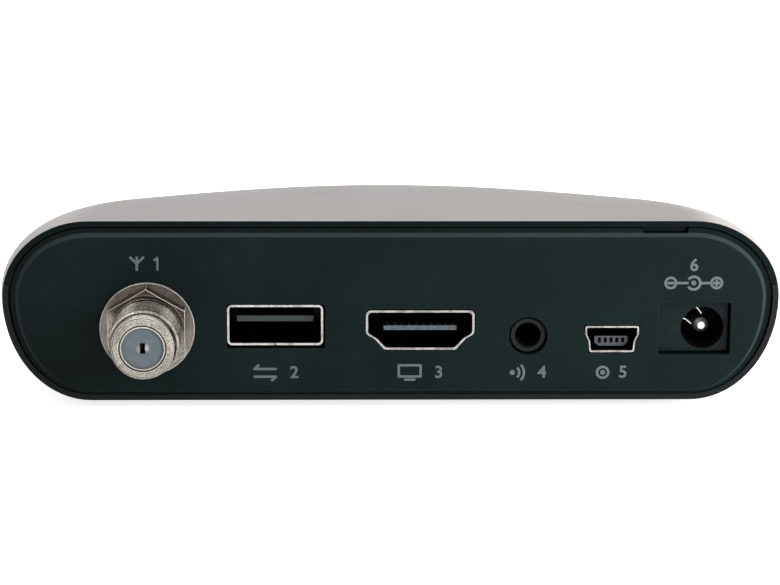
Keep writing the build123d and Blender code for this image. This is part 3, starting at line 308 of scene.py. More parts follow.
def moulded_black(settings):
    """Black plastic from a spark-eroded mould: a fine pebble grain, uneven sheen, chamfers and edges painted
    lighter as a painted highlight, and a sunk border painted darker as painted shade."""
    f = Finish("panel_black")
    colour, grain = settings.colour, settings.grain
    pebble = f.cells(grain)
    fine = f.noise(grain * 0.7, 3.0, 0.6)
    cloud = f.noise(12 * MM, 3.0, 0.6).smooth(0.35, 0.68)
    specks = f.noise(0.35 * MM, 1.0).smooth(0.67, 0.73)
    rounded = f.edge_round(EDGE_ROUND)
    above_foot = f.axis("Z").smooth(3.5 * MM, 10 * MM)
    shaded_sunk_border = f.deeper(PANEL_FACE_Y, 0.42 * MM, 0.52 * MM) * above_foot
    chamfer = f.facing_rear(0.3, 0.45) * (1.0 - f.facing_rear(0.86, 0.96))
    edges = f.edge_mask(rounded, 0.004, 0.07) * 0.5 * (1.0 - shaded_sunk_border)
    shade = cloud.mix(tinted(colour, 0.85), tinted(colour, 1.15))
    # painted shade: what lies behind the raised face is painted darker, except near the bottom
    shade = shaded_sunk_border.mix(shade, tinted(colour, 0.5))
    shade = (specks * 0.25).mix(shade, tinted(colour, 4.0))
    # painted highlight: chamfers and edges are painted lighter
    shade = edges.maths("MAXIMUM", chamfer).mix(shade, HIGHLIGHT_BLACK)
    f.set(Base_Color=shade, Roughness=cloud.around(0.5, 0.04), Specular_IOR_Level=0.09)
    f.bump(pebble + fine * 0.8, 0.5, grain * 0.12, rounded)
    return f.material


def gloss_black(name, colour, rough, specular=0.5):
    """Polished black plastic with faint rub marks; what faces the rear is duller, without a coat, and painted
    darker as painted shade.
    """
    f = Finish(name)
    rubs = f.noise(1.2 * MM, 4.0, 0.65, (1.0, 6.0, 6.0)).smooth(0.42, 0.75)
    cloud = f.noise(20 * MM).smooth(0.3, 0.7)
    rear = f.facing_rear()
    # painted shade: faces towards the rear are painted darker
    shade = rear.mix(cloud.mix(tinted(colour, 0.9), tinted(colour, 1.15)), tinted(colour, 0.6))
    f.set(Base_Color=shade, Roughness=rubs.ranged(rough, rough + 0.07), Coat_Weight=(1.0 - rear) * 0.35,
          Coat_Roughness=0.08, Specular_IOR_Level=specular)
    f.bump(f.noise(4 * MM), 0.04, 0.04 * MM, f.edge_round(EDGE_ROUND))
    return f.material


def plated_metal(name, colour, rough, streak=(1, 1, 1)):
    """Plated or rolled metal: drawn streaks, small tarnish clouds and bright worn edges."""
    f = Finish(name)
    streaks = f.noise(0.25 * MM, 3.0, 0.6, streak)
    tarnish = f.noise(1.8 * MM, 4.0, 0.6).smooth(0.45, 0.8)
    rounded = f.edge_round(EDGE_ROUND / 2)
    shade = tarnish.mix(colour, tinted(colour, 0.6))
    f.set(Base_Color=f.edge_mask(rounded).mix(shade, tinted(colour, 1.5)), Metallic=1.0,
          Roughness=streaks.ranged(rough - 0.05, rough + 0.09))
    f.bump(streaks, 0.12, FAINT, rounded)
    return f.material


def stained_top(f, mottle):
    """1 on top of the aerial's barrel behind its collar, broken up by its mottle: where the top is painted
    darker as painted shade.
    """
    top = f.sector(AERIAL, 0.12, 1.0, 0.8, 0.97) * f.deeper(AERIAL_TIP_Y, 2.0 * MM, 2.4 * MM)
    return top * mottle.ranged(0.95, 0.7)


def groove_dirt(f, start, end):
    """1 in a groove of the barrel's end, between two radii in millimetres: where the groove is painted darker
    as painted shade.
    """
    reach = f.off_axis(AERIAL)
    band = reach.smooth((start - GROOVE_BLUR) * MM, start * MM)
    band = band * (1.0 - reach.smooth(end * MM, (end + GROOVE_BLUR) * MM))
    return band * (1.0 - f.deeper(AERIAL_TIP_Y, 0.6 * MM, 0.8 * MM))


def turned_metal(name, colour, stain, rough, pitch, cut, pitted, painted_gleams=(), grooves=()):
    """Nickel turned on a lathe about the aerial's axis: fine rings, brown stains, dark pits, sharp edges
    painted near-white as a painted highlight, and painted highlights in sectors about the axis. The barrel
    also has painted shade in its grooves and on its top."""
    f = Finish(name)
    wave = f.off_axis(AERIAL) * (2 * math.pi / pitch) + f.noise(3 * MM) * RING_WANDER
    rings = wave.maths("SINE")
    clouds = f.noise(1.8 * MM, 4.0, 0.62).smooth(0.4, 0.66)
    mottle = f.noise(0.26 * MM, 3.0, 0.7).smooth(0.38, 0.62)
    pits = f.noise(0.24 * MM, 3.0, 0.7).smooth(0.66 - pitted, 0.74 - pitted)
    rounded = f.edge_round(EDGE_ROUND)
    edge = f.edge_mask(rounded, 0.003, 0.04)
    shade = clouds.mix(colour, stain)
    # painted highlight: sectors about the axis are painted lighter
    for (right, up), low, high, share in painted_gleams:
        shade = (f.sector(AERIAL, right, up, low, high) * share).mix(shade, NICKEL_PAINTED_GLEAM)
    shade = (mottle * 0.55).mix(shade, tinted(colour, 1.5))
    shade = (rings.smooth(0.0, 1.0) * cut * 0.7).mix(shade, tinted(stain, 0.4))
    shade = (pits * 0.8).mix(shade, tinted(stain, 0.25))
    # painted shade: the barrel's top is painted darker brown
    if grooves:
        brown = stained_top(f, mottle)
        edge = edge * (1.0 - brown)
        shade = brown.mix(shade, tinted(stain, 0.3))
    # painted highlight: sharp edges are painted near-white and made less metallic
    shade = edge.mix(shade, NICKEL_EDGE_HIGHLIGHT)
    # painted shade: the grooves are painted darker
    for start, end in grooves:
        shade = (groove_dirt(f, start, end) * 0.85).mix(shade, tinted(stain, 0.2))
    f.set(Base_Color=shade, Metallic=1.0 - edge * 0.7, Roughness=clouds.ranged(rough, rough + 0.14))
    f.bump(rings, cut, FAINT, rounded)
    return f.material


def sprung_bronze():
    """Dark spring leaf whose cut edges are painted near-white as a painted highlight."""
    f = Finish("sprung_bronze")
    edge = f.edge_mask(f.edge_round(EDGE_ROUND), 0.003, 0.05)
    cloud = f.noise(0.6 * MM, 3.0, 0.6)
    # painted highlight: cut edges are painted near-white and made non-metallic
    f.set(Base_Color=edge.mix(cloud.mix(srgb(64, 58, 50), srgb(92, 84, 72)), srgb(246, 244, 240)),
          Metallic=1.0 - edge, Roughness=0.45)
    return f.material


def socket_steel(name, colour, mouth):
    """Rolled steel of a socket's shell: bright at the worn mouth, painted dark within as painted shade, and
    its edges in there painted lighter as a painted highlight.
    """
    f = Finish(name)
    streaks = f.noise(0.3 * MM, 3.0, 0.6, (1, 5, 1))
    wear = f.noise(0.9 * MM, 3.0, 0.6).smooth(0.4, 0.7)
    dark = f.deeper(mouth, 0.1 * MM, 0.7 * MM)
    rounded = f.edge_round(EDGE_ROUND / 2)
    # painted shade: deeper than the mouth the steel is painted near-black
    shade = dark.mix(wear.mix(tinted(colour, 1.35), tinted(colour, 0.7)), srgb(20, 18, 17))
    # painted highlight: edges inside the dark are painted lighter
    shade = (f.edge_mask(rounded, 0.02, 0.12) * dark * 0.6).mix(shade, srgb(190, 180, 168))
    f.set(Base_Color=shade, Metallic=1.0, Roughness=streaks.ranged(0.24, 0.4))
    f.bump(streaks, 0.1, FAINT, rounded)
    return f.material


def socket_tongue(name, colour, mouth, reach, mottled=0.1, specular=0.25):
    """A socket's plastic tongue: its own colour at the front, painted near-black as painted shade further in
    and where it doesn't face the rear.
    """
    f = Finish(name)
    cloud = f.noise(1.2 * MM, 3.0, 0.6).smooth(0.35, 0.7)
    fine = f.noise(0.22 * MM).smooth(0.35, 0.65)
    dark = f.deeper(mouth, reach, reach + 0.8 * MM).maths("MAXIMUM", 1.0 - f.facing_rear())
    shade = fine.mix(tinted(colour, 1.0 - mottled), tinted(colour, 1.0 + mottled))
    # painted shade: deeper in, and where it doesn't face the rear, the plastic is painted near-black
    shade = dark.mix((cloud * 0.4).mix(shade, tinted(colour, 0.8)), srgb(8, 9, 9))
    f.set(Base_Color=shade, Roughness=cloud.ranged(0.42, 0.52), Specular_IOR_Level=specular)
    f.bump(f.noise(0.2 * MM), 0.12, FAINT)
    return f.material


def soft_black_rubber():
    """Dull rubber of the feet."""
    f = Finish("foot_rubber")
    cloud = f.noise(1.2 * MM, 4.0, 0.65)
    f.set(Base_Color=cloud.mix(srgb(22, 22, 22), srgb(36, 36, 35)), Roughness=0.82, Specular_IOR_Level=0.3)
    f.bump(cloud, 0.35, 0.06 * MM)
    return f.material


def plain_plastic(name, colour, rough, grain=0.3 * MM, specular=0.4):
    """Moulded plastic of a small part."""
    f = Finish(name)
    cloud = f.noise(1.6 * MM, 3.0, 0.6).smooth(0.35, 0.7)
    f.set(Base_Color=cloud.mix(tinted(colour, 0.86), tinted(colour, 1.12)),
          Roughness=cloud.around(rough, 0.06), Specular_IOR_Level=specular)
    f.bump(f.noise(grain), 0.12, FAINT, f.edge_round(EDGE_ROUND / 2))
    return f.material


def smoked_glass():
    """Dark tinted acrylic of the display window."""
    f = Finish("smoked_window")
    cloud = f.noise(10 * MM).smooth(0.3, 0.7)
    f.set(Base_Color=cloud.mix(srgb(30, 20, 22), srgb(36, 25, 27)), Roughness=cloud.ranged(0.04, 0.09),
          Alpha=0.72, Specular_IOR_Level=0.6, Coat_Weight=0.4, Coat_Roughness=0.03)
    return f.material


def circuit_board():
    """Green solder mask over a weave of glass fibre."""
    f = Finish("board_green")
    weave_x, weave_y = ((f.axis(letter) * WEAVE_RATE).maths("SINE") for letter in "XY")
    cloud = f.noise(6 * MM, 3.0).smooth(0.35, 0.7)
    f.set(Base_Color=cloud.mix(srgb(20, 72, 44), srgb(30, 96, 58)), Roughness=0.32, Coat_Weight=0.3)
    f.bump(weave_x * weave_y, 0.15, 0.02 * MM)
    return f.material


def ink(name, colour, glow=None):
    """Printed or lit marks: slightly uneven ink."""
    f = Finish(name)
    cloud = f.noise(0.4 * MM, 3.0, 0.7).smooth(0.3, 0.75)
    f.set(Base_Color=cloud.mix(tinted(colour, 0.9), tinted(colour, 1.06)), Roughness=0.55)
    if glow:
        f.set(Emission_Color=colour, Emission_Strength=glow)
    return f.material


def dielectric():
    """The aerial socket's cool grey insulator: waxy, with a shallow dish round its slot, painted highlights
    left and right of the slot, and the slot painted near-black as painted shade.
    """
    f = Finish("dielectric")
    cloud = f.noise(1.1 * MM, 3.0, 0.6).smooth(0.3, 0.75)
    reach = f.off_axis(AERIAL)
    dish = reach.smooth(DISH_RADIUS * 0.4, DISH_RADIUS)
    near_slot = 1.0 - reach.smooth(DISH_RADIUS * 0.7, DISH_RADIUS * 1.3)
    by_rim = reach.smooth(2.2 * MM, 2.8 * MM)
    # painted highlights: a yellowish one left of the slot and a pale one right of it
    left = near_slot * f.sector(AERIAL, -1.0, -0.3, 0.5, 0.95) * 0.7
    right = near_slot * f.sector(AERIAL, 1.0, 0.1, 0.6, 0.97)
    # painted shade: the slot is painted near-black
    slot_shade = f.deeper(face_y("aerial_insulator"), 0.2 * MM, 0.6 * MM)
    shade = cloud.mix(srgb(87, 96, 101), srgb(96, 105, 109))
    for mask, colour in ((by_rim, (86, 94, 103)), (left, (140, 141, 122)), (right, (176, 178, 178)),
                         (slot_shade, (9, 9, 9))):
        shade = mask.mix(shade, srgb(*colour))
    f.set(Base_Color=shade, Roughness=cloud.ranged(0.3, 0.42), Specular_IOR_Level=0.35)
    f.bump(dish + f.noise(0.3 * MM) * 0.06, 0.7, DISH_DEEP)
    return f.material


def white_stage():
    """Pale floor: white to the camera apart from the object's own soft shadow."""
    f = Finish("stage_white")
    seen = f.node("ShaderNodeLightPath", {}, {}, "Is Camera Ray")
    glow = seen.mix((0.0, 0.0, 0.0), (1.0, 1.0, 1.0))
    under = f.node("ShaderNodeNewGeometry", {}, {}, "Backfacing")
    f.set(Base_Color=(0.82, 0.82, 0.82), Roughness=0.7, Specular_IOR_Level=0.2, Emission_Color=glow,
          Emission_Strength=STAGE_GLOW, Alpha=1.0 - under)
    return f.material


# Finishes of small moulded parts: colour, then roughness, grain and specular level where they differ.
PLASTICS = {
    "key_black": ((34, 34, 35), 0.3),
    "socket_plastic": ((22, 24, 25), 0.42, 0.3 * MM, 0.2),
    "chip_epoxy": ((34, 35, 36), 0.6, 0.1 * MM),
    "thermal_grey": ((150, 156, 160), 0.8),
    "capacitor_sleeve": ((26, 34, 58), 0.28),
    "ferrite": ((66, 66, 68), 0.7, 0.1 * MM),
    "ceramic_tan": ((160, 132, 96), 0.6),
    "switch_plastic": ((36, 36, 37), 0.6),
    "plunger_plastic": ((196, 190, 176), 0.5),
    "display_body": ((46, 46, 50), 0.4),
}
# Finishes of plated and rolled parts: colour, roughness and the streaks' stretch along X, Y and Z.
METALS = {
    "shell_steel": ((176, 172, 166), 0.26, (1, 5, 1)),
    "inner_contact": ((58, 50, 40), 0.35),
    "screw_steel": ((84, 84, 86), 0.34),
    "tin_plate": ((178, 178, 176), 0.3, (6, 1, 1)),
    "gold_contact": ((212, 176, 96), 0.2),
    "bright_pin": ((240, 238, 234), 0.34),
    "anodised_aluminium": ((72, 74, 80), 0.45, (1, 6, 1)),
    "crystal_can": ((206, 206, 202), 0.18),
}
# Steel shells of sockets: colour, and the node whose rear face is the mouth.
SHELLS = {
    "usb_steel": ((200, 199, 197), "usb_shell"),
    "hdmi_steel": ((178, 174, 171), "hdmi_shell"),
    "mini_steel": ((176, 172, 166), "mini_usb_shell"),
}
# Plastic inside sockets: colour, the node at the mouth and the depth beyond which it is painted dark as
# painted shade, then mottling and specular level where they differ.
TONGUES = {
    "usb_tongue": ((55, 61, 61), "usb_shell", 1.9 * MM),
    "hdmi_tongue": ((78, 86, 93), "hdmi_shell", 1.9 * MM, 0.5),
    "mini_tongue": ((74, 77, 81), "mini_usb_shell", 2.2 * MM),
    "jack_plastic": ((14, 25, 26), "power_jack_body", 0.25 * MM, 0.1, 0.12),
}
FINISHES = {}


def make_aerial_finishes(metal):
    """The aerial's three turned metals. A gleam is a painted highlight: its (right, up) way, the soft edge of
    its sector from low to high, and its strength."""
    FINISHES["nickel_plate"] = turned_metal(
        "nickel_plate", metal.colour, tinted(metal.colour, 0.5), 0.24, 0.1 * MM, 0.06, 0.12,
        grooves=((3.06, 3.22), (4.05, 4.12)))
    FINISHES["washer_nickel"] = turned_metal(
        "washer_nickel", srgb(132, 123, 114), srgb(84, 76, 67), 0.32, 0.22 * MM, 0.9, 0.04,
        (((0.6, -0.8), 0.0, 0.85, 0.65), ((-1.0, -0.2), 0.4, 0.95, 0.35)))
    FINISHES["nut_nickel"] = turned_metal(
        "nut_nickel", srgb(76, 66, 57), srgb(52, 44, 37), 0.26, 0.3 * MM, 0.3, 0.06,
        (((0.8, -0.7), 0.55, 0.9, 0.6), ((-1.0, 0.1), 0.86, 0.97, 0.75)))


def make_finishes(scene):
    """Builds every finish, by name."""
    cover, panel, metal, marks = (getattr(scene, name) for name in SETTINGS)
    for name, (colour, *rest) in PLASTICS.items():
        FINISHES[name] = plain_plastic(name, srgb(*colour), *rest)
    for name, (colour, *rest) in METALS.items():
        FINISHES[name] = plated_metal(name, srgb(*colour), *rest)
    for name, (colour, node) in SHELLS.items():
        FINISHES[name] = socket_steel(name, srgb(*colour), face_y(node))
    for name, (colour, node, *rest) in TONGUES.items():
        FINISHES[name] = socket_tongue(name, srgb(*colour), face_y(node), *rest)
    make_aerial_finishes(metal)
    FINISHES.update({
        "cover_lacquer": cover_lacquer(cover, panel.colour),
        "panel_black": moulded_black(panel),
        "case_black": gloss_black("case_black", srgb(27, 33, 33), 0.22, 0.14),
        "smoked_window": smoked_glass(),
        "foot_rubber": soft_black_rubber(),
        "dielectric": dielectric(),
        "sprung_bronze": sprung_bronze(),
        "board_green": circuit_board(),
        "infrared_epoxy": gloss_black("infrared_epoxy", srgb(30, 16, 20), 0.12),
        "red_lens": gloss_black("red_lens", srgb(150, 22, 18), 0.12),
        "mark_ink": ink("mark_ink", marks.colour),
        "display_glow": ink("display_glow", srgb(210, 46, 30), 5.0),
    })


def dress(obj, finish):
    """Gives an object one finish."""
    obj.data.materials.clear()
    obj.data.materials.append(FINISHES[finish])


# ---------------------------------------------------------------- mesh helpers
def new_object(name, bm, finish, smooth_angle=SMOOTH_ANGLE):
    """Turns a bmesh into an object with a finish; flat faces meet at sharp edges."""
    bmesh.ops.remove_doubles(bm, verts=bm.verts, dist=SAME_PLACE)
    bmesh.ops.recalc_face_normals(bm, faces=bm.faces)
    limit = math.radians(smooth_angle)
    for face in bm.faces:
        face.smooth = True
    for edge in bm.edges:
        edge.smooth = len(edge.link_faces) == 2 and edge.calc_face_angle(0.0) < limit
    mesh = bpy.data.meshes.new(name)
    bm.to_mesh(mesh)
    bm.free()
    obj = bpy.data.objects.new(name, mesh)
    bpy.context.scene.collection.objects.link(obj)
    dress(obj, finish)
    return obj


def on_body(obj, body=BODY):
    """Makes an object ride on a body."""
    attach(obj, body)
    return obj


def turned(points, segments, centre, bm=None):
    """Spins a profile of (distance along Y, radius) points about the Y axis through a centre."""
    bm = bm or bmesh.new()
    verts = [bm.verts.new((centre.x + radius, along, centre.z)) for along, radius in points]
    edges = [bm.edges.new(pair) for pair in zip(verts, verts[1:])]
    bmesh.ops.spin(bm, geom=verts + edges, cent=(centre.x, 0, centre.z), axis=(0, 1, 0),
                   angle=2 * math.pi, steps=segments, use_merge=True)
    return bm


def strip(bm, start, end, width, back, front):
    """A flat bar of a width between two (across, up) points, from a back to a front along Y, a little longer
    than their distance so that bars meet. Each bar of a mark stands a hair further out than the one before,
    so that crossing bars share no face."""
    front += STROKE_STEP * (len(bm.verts) // BAR_CORNERS)
    start, end = Vector(start), Vector(end)
    along, centre = end - start, (start + end) / 2
    length = along.length + width * 0.5
    turn = Matrix.Rotation(-math.atan2(along.y, along.x), 4, "Y")
    matrix = Matrix.Translation((centre.x, (back + front) / 2, centre.y)) @ turn
    matrix = matrix @ Matrix.Diagonal((length, front - back, width, 1.0))
    bmesh.ops.create_cube(bm, size=1.0, matrix=matrix)


def stroke(bm, points, width, back, front, closed=False):
    """Flat bars through a row of (across, up) points."""
    points = list(points) + ([points[0]] if closed else [])
    for start, end in zip(points, points[1:]):
        strip(bm, start, end, width, back, front)


def arc_points(centre, radius, start, end, steps):
    """Points of an arc, its angles in degrees from the first axis towards the second."""
    angles = [math.radians(start + (end - start) * k / steps) for k in range(steps + 1)]
    return [(centre[0] + radius * math.cos(a), centre[1] + radius * math.sin(a)) for a in angles]


def ring(bm, centre, outer, inner, back, front):
    """A flat ring, or a disc when the inner radius is 0."""
    across, up = centre
    if inner:
        points = [(front, inner), (front, outer), (back, outer), (back, inner), (front, inner)]
        turned(points, RING_SEGMENTS, Vector((across, 0, up)), bm)
        return
    upright = Matrix.Rotation(math.pi / 2, 4, "X")
    bmesh.ops.create_cone(bm, cap_ends=True, segments=RING_SEGMENTS, radius1=outer, radius2=outer,
                          depth=front - back,
                          matrix=Matrix.Translation((across, (back + front) / 2, up)) @ upright)


def text_mesh(words, height, centre, back, front):
    """A bmesh of upright numerals centred on an (across, up) place, readable from the connectors' side."""
    curve = bpy.data.curves.new("numeral", "FONT")
    curve.body = words
    curve.align_x = "CENTER"
    curve.align_y = "CENTER"
    curve.size = height / NUMERAL_SHARE
    curve.extrude = (front - back) / 2
    curve.offset = NUMERAL_BOLD
    curve.resolution_u = NUMERAL_STEPS
    holder = bpy.data.objects.new("numeral", curve)
    mesh = bpy.data.meshes.new_from_object(holder)
    bm = bmesh.new()
    bm.from_mesh(mesh)
    upright = Matrix(((-1, 0, 0), (0, 0, 1), (0, 1, 0))).to_4x4()
    place = Matrix.Translation((centre[0], (back + front) / 2, centre[1]))
    bmesh.ops.transform(bm, matrix=place @ upright, verts=bm.verts)
    bpy.data.objects.remove(holder)
    bpy.data.curves.remove(curve)
    bpy.data.meshes.remove(mesh)
    return bm


def lay_on(bm, node, lift):
    """Moves every vertex of a mark along Y onto a node's front, keeping the mark's thickness."""
    tree = BVHTree.FromObject(frame["nodes"][node], bpy.context.evaluated_depsgraph_get())
    rearmost = max(vert.co.y for vert in bm.verts)
    for vert in bm.verts:
        hit = tree.ray_cast(Vector((vert.co.x, -REACH, vert.co.z)), Vector((0, 1, 0)))[0]
        if hit is None:
            raise RuntimeError(f"a mark runs off {node}")
        vert.co.y = hit.y - lift + vert.co.y - rearmost


def barrel_profile(pitch):
    """The barrel's closed (along Y, radius) outline, and the Y at which its thread begins."""
    low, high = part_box("aerial_barrel")
    flange_front, flange_radius = low.y + FLANGE, high.x - AERIAL.x
    neck = THREAD_RADIUS - NECK_RELIEF
    points = [(high.y - deep * MM, out * MM) for deep, out in BARREL_FACE]
    first, last = points[-1][0], face_y("aerial_nut") + THREAD_STOP
    step = pitch / THREAD_STEPS
    points += [(first - k * step, THREAD_RADIUS) for k in range(1, int((first - last) / step))]
    points += [(last, THREAD_RADIUS), (last - step, neck), (flange_front, neck),
               (flange_front, flange_radius), (low.y, flange_radius), (low.y, points[0][1]), points[0]]
    return points, first


def cut_thread(bm, first, pitch, depth):
    """Sinks a helical groove into the vertices at the thread's radius, shallow where it begins."""
    for vert in bm.verts:
        offset = Vector((vert.co.x - AERIAL.x, 0, vert.co.z - AERIAL.z))
        if abs(offset.length - THREAD_RADIUS) > ON_RADIUS:
            continue
        turn = math.atan2(offset.z, offset.x) / (2 * math.pi)
        phase = (vert.co.y / pitch + turn) % 1.0
        groove = max(0.0, 1.0 - abs(phase - 0.5) / THREAD_FLANK)
        fade = min(1.0, (first - vert.co.y) / pitch * THREAD_RUN_IN)
        offset *= 1 - groove * fade * depth / THREAD_RADIUS
        vert.co.x, vert.co.z = AERIAL.x + offset.x, AERIAL.z + offset.z


# ---------------------------------------------------------------- operators
class RECEIVER_OT_casing(bpy.types.Operator):
    """Finishes of the shells, the rear panel, the fascia and every other part of the CAD model"""
    bl_idname = "receiver.casing"
    bl_label = "Casing"

    def execute(self, context):
        make_finishes(context.scene)
        for part in frame["record"]["subparts"]:
            node = part["node"]
            dress(frame["nodes"][node], OWN_FINISHES.get(node, part["material_slot"]))
        return {"FINISHED"}


class RECEIVER_OT_aerial(bpy.types.Operator):
    """The aerial connector's barrel with its rolled thread, in place of the plain one"""
    bl_idname = "receiver.aerial"
    bl_label = "Aerial connector"

    def execute(self, context):
        metal = context.scene.receiver_metal
        points, first = barrel_profile(metal.thread_pitch)
        bm = turned(points, BARREL_SEGMENTS, AERIAL)
        cut_thread(bm, first, metal.thread_pitch, metal.thread_depth)
        barrel = on_body(new_object("threaded_barrel", bm, "nickel_plate", THREAD_SMOOTH))
        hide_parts("aerial_barrel")
        return {"FINISHED"}


class RECEIVER_OT_leaves(bpy.types.Operator):
    """The tips of the power jack's contact leaves, inside its round hole"""
    bl_idname = "receiver.leaves"
    bl_label = "Power jack leaves"

    def execute(self, context):
        x, z = middle("power_jack_pin")
        front = JACK_FACE_Y - LEAF_DEEP
        for name, points in LEAF_LINES.items():
            bm = bmesh.new()
            line = [(x - right * MM, z + up * MM) for right, up in points]
            stroke(bm, line, LEAF_THICK, front - LEAF_LONG, front)
            on_body(new_object(name, bm, "bright_pin"))
        return {"FINISHED"}


class RECEIVER_OT_marks(bpy.types.Operator):
    """Printed numbers and pictograms beside the sockets"""
    bl_idname = "receiver.marks"
    bl_label = "Printed marks"

    def execute(self, context):
        marks = context.scene.receiver_marks
        back, front = PANEL_FACE_Y + INK_LIFT, PANEL_FACE_Y + INK_LIFT + INK_THICK
        for number, (name, place) in enumerate(MARK_PLACES.items(), 1):
            if number == 1:
                bm = bmesh.new()
                draw_one(bm, place, marks.numeral, back, front)
            else:
                bm = text_mesh(str(number), marks.numeral, place, back, front)
            self.keep(bm, f"number_{name}")
        for name, (draw, place) in PICTOGRAMS.items():
            bm = bmesh.new()
            draw(bm, place, marks.line, back, front)
            self.keep(bm, f"pictogram_{name}")
        return {"FINISHED"}

    def keep(self, bm, name):
        """Turns a mark's bmesh into a piece of the receiver."""
        on_body(new_object(name, bm, "mark_ink"))


def draw_one(bm, place, height, back, front):
    """A numeral one with its flag, as bold as the other numerals."""
    x, z = place
    half, line = height / 2, height * NUMERAL_LINE
    stroke(bm, [(x, z + half), (x, z - half)], line, back, front)
    stroke(bm, [(x, z + half * 0.94), (x + half * 0.5, z + half * 0.55)], line, back, front)


def draw_aerial(bm, place, line, back, front):
    """A mast with two raised arms."""
    x, z = place
    reach = 0.9 * MM
    stroke(bm, [(x, z - reach), (x, z + reach)], line, back, front)
    stroke(bm, [(x - reach, z + reach), (x, z), (x + reach, z + reach)], line, back, front)


def draw_exchange(bm, place, line, back, front):
    """Two arrows that point opposite ways."""
    x, z = place
    half, rise, barb = 1.5 * MM, 0.55 * MM, 0.6 * MM
    for side in (1, -1):
        level, tip = z + side * rise, x + side * half
        stroke(bm, [(x - side * half, level), (tip, level)], line, back, front)
        stroke(bm, [(tip - side * barb, level + side * rise), (tip, level)], line, back, front)


def draw_screen(bm, place, line, back, front):
    """A screen on its stand."""
    x, z = place
    half, low, high = 1.5 * MM, z - 0.55 * MM, z + 1.05 * MM
    foot, ground = 0.7 * MM, z - 1.0 * MM
    corners = [(x - half, low), (x + half, low), (x + half, high), (x - half, high)]
    stroke(bm, corners, line, back, front, True)
    stroke(bm, [(x - foot, ground), (x + foot, ground)], line, back, front)


def draw_sound(bm, place, line, back, front):
    """A dot and two waves."""
    dot = (place[0] + 0.9 * MM, place[1])
    ring(bm, dot, 0.36 * MM, 0, back, front)
    for radius in (0.95 * MM, 1.6 * MM):
        stroke(bm, arc_points(dot, radius, 140, 220, 8), line, back, front)


def draw_eye(bm, place, line, back, front):
    """A ring round a dot."""
    outer = 0.95 * MM
    ring(bm, place, outer, outer - line, back, front)
    ring(bm, place, DOT, 0, back, front)


def draw_polarity(bm, place, line, back, front):
    """Centre-positive polarity: minus, the socket and plus, joined by a line."""
    x, z = place
    circle, spread, sign = 0.9 * MM, 3.15 * MM, 0.4 * MM
    for side in (1, -1):
        centre = x + side * spread
        ring(bm, (centre, z), circle, circle - line, back, front)
        strip(bm, (centre - sign, z), (centre + sign, z), line, back, front)
        strip(bm, (centre - side * circle, z), (x + side * circle * 0.9, z), line, back, front)
    strip(bm, (x - spread, z - sign), (x - spread, z + sign), line, back, front)
    stroke(bm, arc_points((x, z), circle, 40, 320, 18), line, back, front)
    ring(bm, (x, z), DOT, 0, back, front)


class RECEIVER_OT_front(bpy.types.Operator):
    """Marks on the keys and the digits behind the display window"""
    bl_idname = "receiver.front"
    bl_label = "Front marks and digits"

    def execute(self, context):
        line = context.scene.receiver_marks.line
        for name, draw in KEY_MARKS.items():
            bm = bmesh.new()
            draw(bm, middle(name), line, -INK_THICK, 0)
            lay_on(bm, name, INK_LIFT)
            mark = new_object(f"mark_{name}", bm, "mark_ink")
            on_body(mark, name + "_body")
        self.digits()
        return {"FINISHED"}

    def digits(self):
        """The lit segments of the shown digits, on the display module's front."""
        low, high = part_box("display_module")
        x, z = middle("display_module")
        rear, pitch = low.y - INK_LIFT, (high.x - low.x) / DIGITS_ACROSS
        bm = bmesh.new()
        for place, digit in enumerate(SHOWN_DIGITS):
            centre = x + (place - (len(SHOWN_DIGITS) - 1) / 2) * pitch
            for segment in SEGMENTS[digit]:
                ends = [(centre + across * DIGIT_HALF_WIDTH, z + up * DIGIT_HALF_HEIGHT)
                        for across, up in SEGMENT_ENDS[segment]]
                strip(bm, *ends, SEGMENT_WIDTH, rear - INK_THICK, rear)
        on_body(new_object("display_digits", bm, "display_glow"))


def draw_power(bm, place, line, back, front):
    """A broken ring with an upright bar."""
    x, z = place
    radius = 0.75 * MM
    stroke(bm, arc_points((x, z - 0.1 * MM), radius, 125, 415, 20), line, back, front)
    strip(bm, (x, z), (x, z + radius), line, back, front)


def draw_chevron(bm, place, line, back, front, way):
    """A chevron that points up (1) or down (-1)."""
    x, z = place
    half, base, tip = 0.7 * MM, z - way * 0.35 * MM, z + way * 0.4 * MM
    stroke(bm, [(x - half, base), (x, tip), (x + half, base)], line, back, front)


def draw_down(*mark):
    """A chevron that points down."""
    draw_chevron(*mark, -1)


def draw_up(*mark):
    """A chevron that points up."""
    draw_chevron(*mark, 1)


